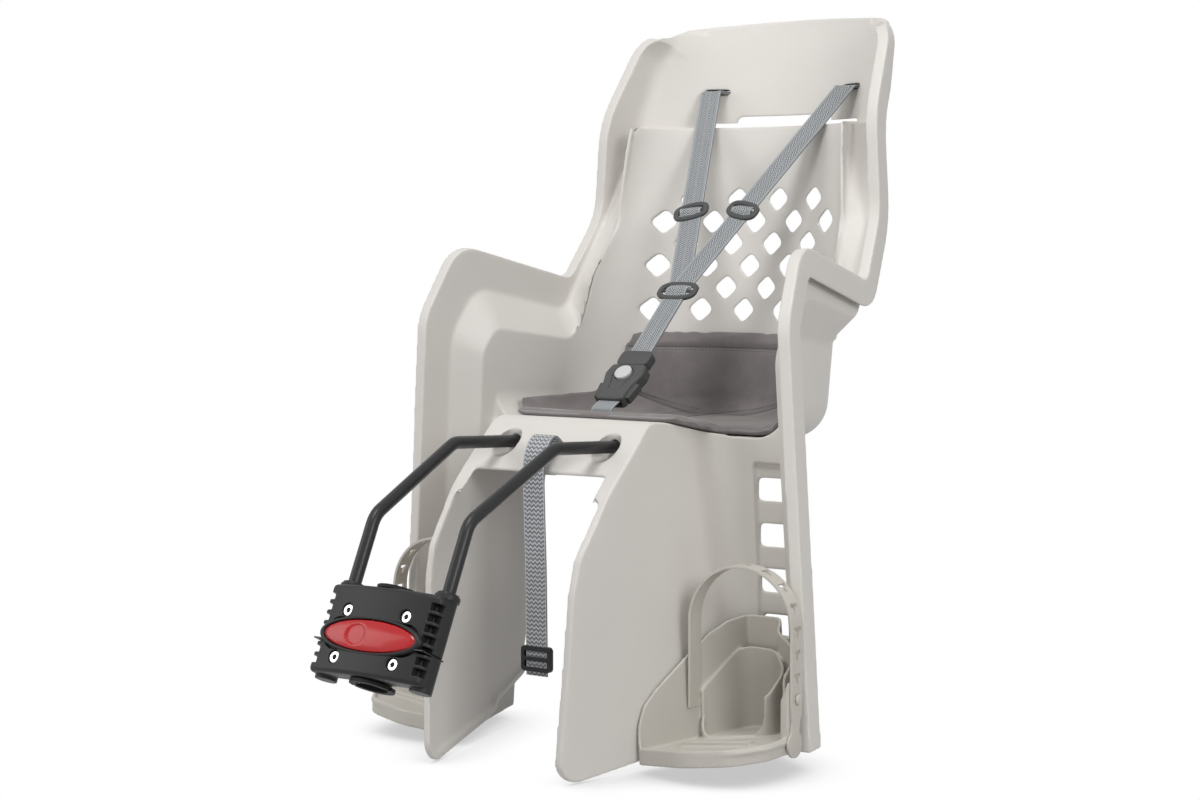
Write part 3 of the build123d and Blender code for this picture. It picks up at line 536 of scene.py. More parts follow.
def soften(piece: bpy.types.Object, passes: int) -> None:
    """Even out a piece's surface some times over."""
    even = piece.modifiers.new("even", "SMOOTH")
    even.factor = 0.5
    even.iterations = passes


def thin_out(piece: bpy.types.Object, faces: int) -> None:
    """Keep about this many triangles of a piece that is made of squares."""
    fewer = piece.modifiers.new("fewer", "DECIMATE")
    fewer.ratio = min(1.0, 0.5 * faces / len(piece.data.polygons))
    settle(piece)
    piece.data.shade_smooth()


def merged_copy(node: str) -> bpy.types.Mesh:
    """Copy of a node's mesh with its loose triangles joined."""
    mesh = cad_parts[node].data.copy()
    made = bmesh.new()
    made.from_mesh(mesh)
    bmesh.ops.remove_doubles(made, verts=made.verts, dist=1e-5)
    made.to_mesh(mesh)
    made.free()
    return mesh


def rounded(piece: bpy.types.Object, voxel: float, passes: int, faces: int) -> bpy.types.Object:
    """Round a closed piece's edges as a mould leaves them.

    Args:
        piece: Piece to round.
        voxel: Size of the cells that it is rebuilt from.
        passes: How often its surface is evened out.
        faces: About how many triangles are kept.

    Returns:
        The same piece as a plain mesh.
    """
    use_cells(piece, voxel)
    soften(piece, passes)
    settle(piece)
    thin_out(piece, faces)
    return piece


def rounded_copy(node: str, name: str, voxel: float, passes: int, faces: int) -> bpy.types.Object:
    """Copy of a node with its edges rounded.

    Args:
        node: Node to copy.
        name: Name of the new piece.
        voxel: Size of the cells that it is rebuilt from.
        passes: How often its surface is evened out.
        faces: About how many triangles are kept.

    Returns:
        The new piece as a plain mesh.
    """
    return rounded(new_piece(name, merged_copy(node)), voxel, passes, faces)


def cut_from(piece: bpy.types.Object, tool: bpy.types.Object) -> None:
    """Cut a closed tool out of a piece and throw the tool away."""
    cut = piece.modifiers.new("cut", "BOOLEAN")
    cut.operation = "DIFFERENCE"
    cut.solver = "EXACT"
    cut.object = tool
    settle(piece)
    bpy.data.objects.remove(tool)


def tree_of(nodes: list[str]) -> BVHTree:
    """Search tree over the triangles of some nodes of the frame."""
    spots = []
    faces = []
    for node in nodes:
        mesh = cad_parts[node].data
        start = len(spots)
        spots += [vertex.co.copy() for vertex in mesh.vertices]
        faces += [[start + index for index in face.vertices] for face in mesh.polygons]
    return BVHTree.FromPolygons(spots, faces)


def own_tree(mesh: bpy.types.Mesh) -> BVHTree:
    """Search tree over a mesh's own faces."""
    return BVHTree.FromPolygons([v.co for v in mesh.vertices], [list(f.vertices) for f in mesh.polygons])


def smooth_step(value: float, low: float, high: float) -> float:
    """Ease from 0 at low to 1 at high."""
    share = min(1.0, max(0.0, (value - low) / (high - low)))
    return share * share * (3.0 - 2.0 * share)


def filled_outline(name: str, loops: list[Outline]) -> bpy.types.Object:
    """Flat filled face inside the first loop and outside the others.

    Args:
        name: Name of the piece.
        loops: The edge, and then its holes.

    Returns:
        The face as a flat piece.
    """
    curve = bpy.data.curves.new(name + "_edge", "CURVE")
    curve.dimensions = "2D"
    curve.fill_mode = "BOTH"
    for loop in loops:
        spline = curve.splines.new("POLY")
        spline.points.add(len(loop) - 1)
        for point, (x, y) in zip(spline.points, loop):
            point.co = (x, y, 0.0, 1.0)
        spline.use_cyclic_u = True
    holder = link_new(name + "_edge", curve)
    mesh = evaluated_mesh(holder)
    bpy.data.objects.remove(holder)
    return new_piece(name, mesh)


def rounded_corners(corners: Outline, radii: tuple[float, ...], gap: float) -> Outline:
    """Closed outline with round corners.

    Args:
        corners: Its corners in order.
        radii: Radius of each corner.
        gap: About how far apart its points lie.

    Returns:
        Points along the outline.
    """
    bends = []
    count = len(corners)
    for index, radius in enumerate(radii):
        corner = Vector(corners[index])
        before = Vector(corners[index - 1]) - corner
        after = Vector(corners[(index + 1) % count]) - corner
        reach = radius / math.tan(before.angle(after) / 2)
        reach = min(reach, 0.48 * before.length, 0.48 * after.length)
        start = corner + before.normalized() * reach
        end = corner + after.normalized() * reach
        for step in range(CORNER_STEPS + 1):
            t = step / CORNER_STEPS
            bends.append(start * (1 - t) ** 2 + corner * (2 * t * (1 - t)) + end * t**2)
    spots = []
    for first, second in zip(bends, [*bends[1:], bends[0]]):
        parts = max(1, round((second - first).length / gap))
        spots += [tuple(first.lerp(second, part / parts)) for part in range(parts)]
    return spots


def level_at(line: Outline, place: float) -> float:
    """Height of a bent line at a place along it, level beyond its ends."""
    if place <= line[0][0]:
        return line[0][1]
    for (start, low), (end, high) in zip(line, line[1:]):
        if place <= end:
            return low + (high - low) * (place - start) / (end - start)
    return line[-1][1]


def mesh_piece(name: str, made: bmesh.types.BMesh) -> bpy.types.Object:
    """Turn a finished bmesh into a piece with its faces turned outwards."""
    bmesh.ops.recalc_face_normals(made, faces=made.faces)
    mesh = bpy.data.meshes.new(name)
    made.to_mesh(mesh)
    made.free()
    return new_piece(name, mesh)


def turns(count: int) -> list[float]:
    """Angles of evenly spread places round a circle."""
    return [2.0 * math.pi * step / count for step in range(count)]


def sew(made: bmesh.types.BMesh, loops: list[list[bmesh.types.BMVert]]) -> list[bmesh.types.BMFace]:
    """Join each loop of points to the one after it.

    Args:
        made: Mesh that holds the points.
        loops: Loops of equally many points.

    Returns:
        The new faces.
    """
    faces = []
    for loop, after in zip(loops, loops[1:]):
        for step, spot in enumerate(loop):
            following = (step + 1) % len(loop)
            faces.append(made.faces.new([spot, loop[following], after[following], after[step]]))
    return faces


def add_cylinder(
    made: bmesh.types.BMesh, radius: float, depth: float, segments: int, place: Matrix
) -> None:
    """Add a closed cylinder along the Z direction of its place."""
    bmesh.ops.create_cone(
        made,
        cap_ends=True,
        segments=segments,
        radius1=radius,
        radius2=radius,
        depth=depth,
        matrix=place,
    )


def smooth_line(points: list[Vector], steps: int) -> list[Vector]:
    """Even curve through all the points.

    Args:
        points: Points to pass through.
        steps: Parts between two points.

    Returns:
        Points along the curve.
    """
    padded = [2 * points[0] - points[1], *points, 2 * points[-1] - points[-2]]
    line = []
    for a, b, c, d in zip(padded, padded[1:], padded[2:], padded[3:]):
        for step in range(steps):
            t = step / steps
            bend = 2 * b + (c - a) * t + (2 * a - 5 * b + 4 * c - d) * t**2 + (3 * b - a - 3 * c + d) * t**3
            line.append(bend / 2)
    return [*line, points[-1]]


@dataclass
class Strip:
    """Flat band along a line, with a map in metres across and along it."""

    width: float = 0.025
    thickness: float = 0.0016
    cells: int = 10

    def section(self) -> Outline:
        """Closed outline of the band's cross-section, with rounded edges."""
        half = self.width / 2
        thick = self.thickness / 2
        upper = [(-half + self.width * step / self.cells, thick) for step in range(self.cells + 1)]
        upper[0] = (-half + thick, thick)
        upper[-1] = (half - thick, thick)
        rim = [(half - 0.3 * thick, 0.7 * thick), (half, 0.0), (half - 0.3 * thick, -0.7 * thick)]
        lower = [(x, -z) for x, z in reversed(upper)]
        return [*upper, *rim, *lower, *[(-x, -z) for x, z in rim]]

    def build(self, name: str, line: list[Vector], across: Vector) -> bpy.types.Object:
        """Sweep the cross-section along a line.

        Args:
            name: Name of the piece.
            line: Middle line of the band.
            across: Direction of the band's width, about square to the line.

        Returns:
            The band as a piece.
        """
        made = bmesh.new()
        layer = made.loops.layers.uv.new("Strap")
        section = self.section()
        rings = []
        travelled = []
        length = 0.0
        for index, spot in enumerate(line):
            ahead = line[min(index + 1, len(line) - 1)]
            behind = line[max(index - 1, 0)]
            run = (ahead - behind).normalized()
            wide = (across - run * across.dot(run)).normalized()
            out = run.cross(wide)
            rings.append([made.verts.new(spot + wide * x + out * z) for x, z in section])
            travelled.append(length)
            length += (ahead - spot).length
        count = len(section)
        for ring in range(len(rings) - 1):
            for spot in range(count):
                after = (spot + 1) % count
                corners = [(ring, spot), (ring, after), (ring + 1, after), (ring + 1, spot)]
                face = made.faces.new([rings[r][s] for r, s in corners])
                for loop, (r, s) in zip(face.loops, corners):
                    loop[layer].uv = (section[s][0] + self.width / 2, travelled[r])
        made.faces.new(list(reversed(rings[0])))
        made.faces.new(rings[-1])
        return mesh_piece(name, made)


@dataclass
class StitchRow:
    """Row of short stitches along a line, made by geometry nodes."""

    pitch: float = 0.0042
    length: float = 0.003
    thickness: float = 0.0007

    def tree(self, finish: Finish) -> bpy.types.NodeTree:
        """Node tree that lays one stitch after another along a wire."""
        tree = bpy.data.node_groups.new("Stitch row", "GeometryNodeTree")
        tree.interface.new_socket(name="Wire", in_out="INPUT", socket_type="NodeSocketGeometry")
        for name in ("Pitch", "Length", "Thickness"):
            tree.interface.new_socket(name=name, in_out="INPUT", socket_type="NodeSocketFloat")
        tree.interface.new_socket(name="Stitches", in_out="OUTPUT", socket_type="NodeSocketGeometry")
        kinds = ["NodeGroupInput", "GeometryNodeMeshToCurve", "GeometryNodeCurveToPoints"]
        kinds += ["GeometryNodeMeshUVSphere", "ShaderNodeCombineXYZ", "GeometryNodeTransform"]
        kinds += ["GeometryNodeInstanceOnPoints", "GeometryNodeRealizeInstances"]
        kinds += ["GeometryNodeSetMaterial", "NodeGroupOutput"]
        made = [tree.nodes.new(kind) for kind in kinds]
        start, wire, spots, bead, size, stretched, laid, real, dressed, end = made
        spots.mode = "LENGTH"
        bead.inputs["Segments"].default_value = 6
        bead.inputs["Rings"].default_value = 5
        bead.inputs["Radius"].default_value = 0.5
        dressed.inputs["Material"].default_value = finish_of(finish)
        links = [
            (start.outputs["Wire"], wire.inputs[0]),
            (wire.outputs[0], spots.inputs["Curve"]),
            (start.outputs["Pitch"], spots.inputs["Length"]),
            (start.outputs["Thickness"], size.inputs["X"]),
            (start.outputs["Thickness"], size.inputs["Y"]),
            (start.outputs["Length"], size.inputs["Z"]),
            (bead.outputs["Mesh"], stretched.inputs["Geometry"]),
            (size.outputs[0], stretched.inputs["Scale"]),
            (spots.outputs["Points"], laid.inputs["Points"]),
            (stretched.outputs[0], laid.inputs["Instance"]),
            (spots.outputs["Rotation"], laid.inputs["Rotation"]),
            (laid.outputs[0], real.inputs[0]),
            (real.outputs[0], dressed.inputs["Geometry"]),
            (dressed.outputs[0], end.inputs[0]),
        ]
        for source, target in links:
            tree.links.new(source, target)
        return tree

    def build(self, name: str, lines: list[list[Vector]], finish: Finish) -> bpy.types.Object:
        """Stitch along some lines.

        Args:
            name: Name of the piece.
            lines: The lines that the stitches follow.
            finish: Finish of the thread.

        Returns:
            All the stitches as one plain mesh.
        """
        spots = []
        edges = []
        for line in lines:
            edges += [(len(spots) + step, len(spots) + step + 1) for step in range(len(line) - 1)]
            spots += line
        mesh = bpy.data.meshes.new(name)
        mesh.from_pydata(spots, edges, [])
        piece = link_new(name, mesh)
        tree = self.tree(finish)
        rows = piece.modifiers.new("rows", "NODES")
        rows.node_group = tree
        sizes = {"Pitch": self.pitch, "Length": self.length, "Thickness": self.thickness}
        for item in tree.interface.items_tree:
            if item.name in sizes and item.in_out == "INPUT":
                rows[item.identifier] = sizes[item.name]
        settle(piece)
        piece.data.shade_smooth()
        return piece


@dataclass
class SeatShell:
    """The moulded bucket with its rims, back, head part and leg shields."""

    voxel: float = 0.0013
    swell: float = 0.0009
    passes: int = 10
    faces: int = 190000
    corner_radius: float = 42.0
    crease: tuple[Point, ...] = (
        (154.4, 245.5, 95.0),
        (150.9, 256.6, 120.0),
        (140.0, 290.3, 200.0),
        (130.2, 316.2, 280.0),
        (126.4, 327.4, 313.5),
    )
    crease_radius: float = 3.0
    fold: tuple[Point, ...] = (
        (153.8, 244.0, 95.0),
        (150.2, 255.3, 120.0),
        (139.4, 287.3, 200.0),
        (136.0, 293.2, 240.0),
        (132.3, 298.4, 280.0),
        (129.6, 303.9, 314.0),
    )
    fold_radius: float = 2.2

    def bead(self, made: bmesh.types.BMesh, points: list[Vector], radius: float) -> None:
        """Add a closed round bead along some points."""
        angles = turns(12)
        line = smooth_line(points, 6)
        loops = []
        for index, spot in enumerate(line):
            run = (line[min(index + 1, len(line) - 1)] - line[max(index - 1, 0)]).normalized()
            first = (ACROSS - run * ACROSS.dot(run)).normalized() * radius
            second = run.cross(first)
            loops.append([made.verts.new(spot + first * math.cos(t) + second * math.sin(t)) for t in angles])
        sides = sew(made, loops)
        ends = [made.faces.new(list(reversed(loops[0]))), made.faces.new(loops[-1])]
        bmesh.ops.recalc_face_normals(made, faces=[*sides, *ends])

    def shifted(self, piece: bpy.types.Object, distance: float, passes: int) -> None:
        """Move a piece's whole surface outwards, or inwards, and even it out."""
        move = piece.modifiers.new("move", "DISPLACE")
        move.mid_level = 0.0
        move.strength = distance
        soften(piece, passes)
        settle(piece)

    def round_head(self, piece: bpy.types.Object) -> None:
        """Press the square corners of the head part into round ones."""
        spots = [(vertex.co - SEAT_ORIGIN) * 1000.0 for vertex in piece.data.vertices]
        top = max(spot.z for spot in spots)
        half = max(abs(spot.x) for spot in spots if spot.z > top - self.corner_radius / 2)
        for vertex, spot in zip(piece.data.vertices, spots):
            out = abs(spot.x) - half + self.corner_radius
            rise = spot.z - top + self.corner_radius
            if out > 0.0 and rise > 0.0:
                share = max(out, rise) / math.hypot(out, rise)
                x = half - self.corner_radius + out * share
                z = top - self.corner_radius + rise * share
                vertex.co = seat(math.copysign(x, spot.x), spot.y, z)

    def build(self) -> None:
        """Fill the crease beside the back, round the shell's edges and give it its grain."""
        piece = new_piece("moulded_shell", merged_copy("seat_shell"))
        made = bmesh.new()
        made.from_mesh(piece.data)
        for side in Side:
            for points, radius in ((self.crease, self.crease_radius), (self.fold, self.fold_radius)):
                self.bead(made, [seat(side.value * x, y, z) for x, y, z in points], radius / 1000.0)
        made.to_mesh(piece.data)
        made.free()
        self.shifted(piece, self.swell, 0)
        use_cells(piece, self.voxel)
        soften(piece, self.passes)
        settle(piece)
        self.shifted(piece, -self.swell, self.passes)
        self.round_head(piece)
        thin_out(piece, self.faces)
        seat_piece(piece, SHELL_PLASTIC, "seat", "shell", "seat_shell")


@dataclass
class Cushion:
    """The loose quilted cushion on the pan and the foot of the back."""

    voxel: float = 0.0055
    start_inside: float = 0.0008
    pressure: float = 4.0
    steps: int = 20
    most: float = 0.0035
    clear: float = 0.0005
    top_seam: float = 81.0
    fold_seam: tuple[float, float] = (11.5, 0.0021)
    seam_depth: float = 0.0017
    seam_reach: float = 3.2
    seam_line: float = 0.9
    seam_area: tuple[float, float] = (225.0, 112.0)
    stitch_beside: float = 3.4
    stitch_step: float = 3.0
    stitch_steps: int = 34
    look: float = 0.012
    thickest: float = 0.06
    binding_depth: tuple[float, float] = (0.016, 0.024)
    even_passes: int = 8

    def seam_gap(self, spot: Vector, normal: Vector) -> float:
        """Distance in millimetres of a point of the cushion's face from the nearer seam."""
        x, y, z = (spot - SEAT_ORIGIN) * 1000.0
        front, half = self.seam_area
        if normal.y > -0.15 or y < front or abs(x) > half:
            return math.inf
        low, rise = self.fold_seam
        return min(abs(z - self.top_seam), 1.15 * abs(z - low - rise * x * x))

    def swell(self, piece: bpy.types.Object) -> None:
        """Fill the cover with air and keep how far each point moves inside its room."""
        mesh = piece.data
        start = [vertex.co - vertex.normal * self.start_inside for vertex in mesh.vertices]
        normals = [vertex.normal.copy() for vertex in mesh.vertices]
        for vertex, spot in zip(mesh.vertices, start):
            vertex.co = spot
        cloth = piece.modifiers.new("cloth", "CLOTH")
        cloth.settings.use_pressure = True
        cloth.settings.uniform_pressure_force = self.pressure
        cloth.settings.effector_weights.gravity = 0.0
        cloth.point_cache.frame_start = 1
        cloth.point_cache.frame_end = self.steps
        scene = bpy.context.scene
        for step in range(1, self.steps + 1):
            scene.frame_set(step)
        graph = bpy.context.evaluated_depsgraph_get()
        swollen = [vertex.co.copy() for vertex in piece.evaluated_get(graph).data.vertices]
        piece.modifiers.clear()
        scene.frame_set(1)
        around = tree_of(["seat_shell", "buckle_body", "buckle_tongue", "lower_strap", "crotch_strap"])
        for vertex, spot, normal, target in zip(mesh.vertices, start, normals, swollen):
            gap = around.ray_cast(spot, normal, self.look)[3]
            room = self.most if gap is None else min(self.most, max(0.0, gap - self.clear))
            move = target - spot
            if move.length > room:
                move = move.normalized() * room
            vertex.co = spot + move

    def mark(self, piece: bpy.types.Object) -> None:
        """Draw the seams into the face and mark the binding along the edge."""
        mesh = piece.data
        own = own_tree(mesh)
        seam = mesh.attributes.new("seam", "FLOAT", "POINT")
        binding = mesh.attributes.new("binding", "FLOAT", "POINT")
        moves = []
        for vertex in mesh.vertices:
            normal = vertex.normal.copy()
            gap = self.seam_gap(vertex.co, normal)
            seam.data[vertex.index].value = math.exp(-((gap / self.seam_line) ** 2))
            moves.append(normal * (-self.seam_depth * math.exp(-((gap / self.seam_reach) ** 2))))
            through = own.ray_cast(vertex.co - normal * 0.0004, -normal, self.thickest)[3]
            depth = self.thickest if through is None else through
            binding.data[vertex.index].value = smooth_step(depth, *self.binding_depth)
        for vertex, move in zip(mesh.vertices, moves):
            vertex.co += move

    def seam_lines(self, piece: bpy.types.Object) -> list[list[Vector]]:
        """Lines on the cushion's face just beside its seams."""
        own = own_tree(piece.data)
        low, rise = self.fold_seam
        lines = []
        for level, bend in ((self.top_seam - self.stitch_beside, 0.0), (low + self.stitch_beside, rise)):
            line = []
            for step in range(-self.stitch_steps, self.stitch_steps + 1):
                x = self.stitch_step * step
                eye = seat(x, 150.0, level + bend * x * x)
                spot = own.ray_cast(eye, Vector((0.0, 1.0, 0.0)))[0]
                if spot is not None:
                    line.append(spot + Vector((0.0, -0.0001, 0.0)))
            lines.append(line)
        return lines

    def build(self) -> None:
        """Puff the cushion up, sew its seams and dress it."""
        piece = new_piece("quilted_cushion", merged_copy("seat_pad"))
        use_cells(piece, self.voxel)
        settle(piece)
        self.swell(piece)
        finer = piece.modifiers.new("finer", "SUBSURF")
        finer.levels = 2
        finer.render_levels = 2
        soften(piece, self.even_passes)
        settle(piece)
        self.mark(piece)
        piece.data.shade_smooth()
        stitches = StitchRow().build("cushion_stitches", self.seam_lines(piece), THREAD)
        seat_piece(piece, DARK_NUBUCK, "seat", "cushion", "seat_pad")
        seat_piece(stitches, THREAD, "seat", "cushion")


@dataclass
class SliderRing:
    """Oval plastic ring with a middle bar that the webbing is threaded round."""

    width: float = 0.040
    length: float = 0.0235
    rim: float = 0.0055
    depth: float = 0.0042
    bulge: float = 2.7
    bar_radius: float = 0.0014
    segments: int = 56

    def outline(self, inset: float) -> Outline:
        """Points of the oval, drawn in by inset."""
        spots = []
        for angle in turns(self.segments):
            reach = [abs(part) ** (2.0 / self.bulge) for part in (math.cos(angle), math.sin(angle))]
            x = math.copysign(reach[0], math.cos(angle)) * (self.width / 2 - inset)
            y = math.copysign(reach[1], math.sin(angle)) * (self.length / 2 - inset)
            spots.append((x, y))
        return spots

    def build(self, name: str, place: Matrix) -> bpy.types.Object:
        """Build the ring and its bar.

        Args:
            name: Name of the piece.
            place: Where the ring's middle goes, with its length along Y and its face along Z.

        Returns:
            The slider as one piece.
        """
        made = bmesh.new()
        half = self.depth / 2
        profile = [(0.0, -0.45), (0.12, -0.85), (0.3, -1.0), (0.7, -1.0), (0.88, -0.85), (1.0, -0.45)]
        profile += [(share, -level) for share, level in reversed(profile)]
        loops = []
        for share, level in profile:
            spots = self.outline(self.rim * share)
            loops.append([made.verts.new((x, y, level * half)) for x, y in spots])
        sew(made, [*loops, loops[0]])
        bar = Matrix.Rotation(math.radians(90), 4, "Y") @ Matrix.Diagonal((1.0, 1.5, 1.0, 1.0))
        long = self.width - 1.2 * self.rim
        add_cylinder(made, self.bar_radius, long, 16, bar)
        made.transform(place)
        return mesh_piece(name, made)


@dataclass
class Buckle:
    """Harness buckle: body with a cut-free press tongue and side grips, head and round button."""

    foot: Point = (0.0, 76.0, 35.0)
    lean: float = 40.0
    button_up: float = 36.0
    button_reach: float = 11.6
    cut_foot: tuple[float, float] = (6.2, 13.0)
    cut_level: float = 6.6
    cut_turn: tuple[float, float] = (-12.0, 192.0)
    cut_steps: int = 12
    grip: Point = (18.6, 15.0, -1.0)
    grip_size: Point = (6.5, 20.0, 8.0)
    grip_turn: float = -8.0
    pocket_radius: float = 9.8
    pocket_floor: float = 1.5
    pocket_depth: float = 12.0

    def place(self) -> Matrix:
        """The buckle's own frame: X across, Y up along it, Z out of its face, in millimetres."""
        lean = math.radians(self.lean)
        up = (0.0, math.cos(lean), math.sin(lean))
        out = (0.0, -math.sin(lean), math.cos(lean))
        turn = Matrix([(1.0, 0.0, 0.0), up, out]).transposed().to_4x4()
        return Matrix.Translation(seat(*self.foot)) @ turn @ Matrix.Scale(0.001, 4)

    def groove(self) -> bpy.types.Object:
        """Thin wall that cuts the slot round the press tongue."""
        x, y = self.cut_foot
        line = [(x, y), (0.5 * (x + self.button_reach), 0.5 * (y + self.button_up))]
        first, last = self.cut_turn
        for step in range(self.cut_steps + 1):
            angle = math.radians(first + (last - first) * step / self.cut_steps)
            height = self.button_up + self.button_reach * math.sin(angle)
            line.append((self.button_reach * math.cos(angle), height))
        line += [(-line[1][0], line[1][1]), (-x, y)]
        place = self.place()
        spots = [place @ Vector((a, b, self.cut_level)) for a, b in line]
        out = (place.to_3x3() @ UP).normalized()
        return Strip(width=0.003, thickness=0.0009, cells=4).build("groove", spots, out)

    def pocket(self) -> bpy.types.Object:
        """Round cutter that leaves room for the pressed button."""
        made = bmesh.new()
        middle = (0.0, self.button_up, self.pocket_floor + 0.5 * self.pocket_depth)
        place = self.place() @ Matrix.Translation(middle)
        add_cylinder(made, self.pocket_radius, self.pocket_depth, 64, place)
        return mesh_piece("pocket", made)

    def build(self) -> None:
        """Build the buckle's two halves and dress the button."""
        body = new_piece("buckle_housing", merged_copy("buckle_body"))
        cut_from(body, self.groove())
        cut_from(body, self.pocket())
        made = bmesh.new()
        made.from_mesh(body.data)
        x, y, z = self.grip
        for side in Side:
            turn = Matrix.Rotation(math.radians(self.grip_turn * side.value), 4, "Z")
            where = self.place() @ Matrix.Translation((side.value * x, y, z)) @ turn
            bmesh.ops.create_cube(made, size=1.0, matrix=where @ Matrix.Diagonal((*self.grip_size, 1.0)))
        made.to_mesh(body.data)
        made.free()
        rounded(body, 0.00042, 3, 40000)
        seat_piece(body, GREY_PLASTIC, "seat", "black_plastic", "buckle_body")
        head = rounded_copy("buckle_tongue", "buckle_head", 0.0005, 4, 16000)
        seat_piece(head, GREY_PLASTIC, "seat", "black_plastic", "buckle_tongue")
        dress_nodes(PALE_BUTTON, "buckle_button")


@dataclass
class Harness:
    """Shoulder straps, their sliders and keepers, and the crotch strap."""

    strap_top: Point = (84.0, 405.0, 357.0)
    meet: Point = (0.0, 198.0, 141.0)
    low: Point = (0.0, 126.0, 77.0)
    lead: float = 12.0
    slider_share: float = 0.63
    hump: float = 0.0031
    hump_reach: float = 0.0048
    slider_lift: float = 0.0012
    crossing_lift: float = 0.00096
    end_gap: float = 0.005
    shoulder_steps: int = 120
    lower_steps: int = 100
    lower_start: float = 0.007
    lower_lift: float = 0.0008
    crotch_route: tuple[tuple[float, float], ...] = ((62.0, -6.0), (62.0, 10.0), (62.0, 26.0), (64.5, 31.0))
    crotch_end: float = 6.0
    strip: Strip = field(default_factory=Strip)

    def humped(self, line: list[Vector], middle: Vector, out: Vector) -> list[Vector]:
        """Line of a strap that rises over a slider's middle bar."""
        lifted = []
        for spot in line:
            far = (spot - middle).length
            lifted.append(spot + out * (self.hump * math.exp(-((far / self.hump_reach) ** 2))))
        return lifted

    def slider_place(self, middle: Vector, run: Vector) -> Matrix:
        """Frame of a slider on a strap: Y along the strap and Z out of its face."""
        out = run.cross(ACROSS).normalized()
        across = out.cross(run).normalized()
        turn = Matrix((across, run.normalized(), out)).transposed().to_4x4()
        return Matrix.Translation(middle + out * self.slider_lift) @ turn

    def shoulder(self, side: Side) -> None:
        """One shoulder strap from behind its slot down to where the two meet, with its slider."""
        x, y, z = self.strap_top
        lift = Vector((0.0, -1.0, 1.0)).normalized() * (self.crossing_lift * side.value)
        start = seat(side.value * x, y - self.lead, z)
        meet = seat(*self.meet)
        end = meet + (start - meet).normalized() * self.end_gap + lift
        run = end - start
        points = [seat(side.value * x, y + behind, z) for behind in (17.0, 4.0)]
        points.append(start + Vector((0.0, 0.002, 0.0)))
        points += [start + run * share for share in (0.02, 0.1, 0.3, 0.5)]
        line = smooth_line(points, 8)
        steps = self.shoulder_steps
        line += [start + run * (0.5 + 0.5 * step / steps) for step in range(1, steps + 1)]
        middle = start + run * self.slider_share
        place = self.slider_place(middle, run)
        line = self.humped(line, middle, place.to_3x3() @ UP)
        piece = self.strip.build("shoulder_webbing_" + side.word, line, ACROSS)
        seat_piece(piece, GREY_WEBBING, "seat", "webbing", "shoulder_strap_" + side.word)
        ring = SliderRing().build("strap_ring_" + side.word, place)
        seat_piece(ring, GREY_PLASTIC, "seat", "black_plastic", "strap_slider_" + side.word)

    def lower(self) -> None:
        """Doubled webbing from the lower slider to the buckle."""
        meet = seat(*self.meet)
        run = seat(*self.low) - meet
        place = self.slider_place(meet, run)
        out = place.to_3x3() @ UP
        start = meet - run.normalized() * self.lower_start
        line = [start + run * (step / self.lower_steps) for step in range(self.lower_steps + 1)]
        line = self.humped([spot + out * self.lower_lift for spot in line], meet, out)
        piece = Strip(thickness=0.0024).build("lower_webbing", line, ACROSS)
        seat_piece(piece, GREY_WEBBING, "seat", "webbing", "lower_strap")
        ring = SliderRing(width=0.047, length=0.026).build("strap_ring_lower", place)
        seat_piece(ring, GREY_PLASTIC, "seat", "black_plastic", "strap_slider_lower")

    def crotch(self) -> None:
        """Webbing from its keeper under the pan up into the buckle."""
        line = [seat(0.0, y, z) for y, z in self.crotch_route]
        line.append(Buckle().place() @ Vector((0.0, self.crotch_end, 0.0)))
        piece = self.strip.build("crotch_webbing", smooth_line(line, 6), ACROSS)
        seat_piece(piece, GREY_WEBBING, "seat", "webbing", "crotch_strap")

    def build(self) -> None:
        """Build all the webbing and dress the fittings."""
        for side in Side:
            self.shoulder(side)
        self.lower()
        self.crotch()
        dress_nodes(GREY_PLASTIC, "strap_keeper_left", "strap_keeper_right", "crotch_keeper")


@dataclass
class SafetyStrap:
    """The long strap that hangs from the apron, and its buckle."""

    route: tuple[tuple[float, float], ...] = (
        (-8.0, -9.0),
        (-20.0, 4.0),
        (-31.0, 10.0),
        (-42.0, 2.0),
        (-48.6, -18.0),
        (-48.0, -60.0),
        (-46.0, -110.0),
        (-45.0, -160.0),
        (-44.0, -216.0),
    )

    def build(self) -> None:
        """Build the strap and dress its buckle."""
        line = smooth_line([seat(0.0, y, z) for y, z in self.route], 10)
        piece = Strip().build("safety_webbing", line, ACROSS)
        seat_piece(piece, TIE_WEBBING, "seat", "webbing", "safety_strap")
        dress_nodes(BLACK_PLASTIC, "safety_buckle")


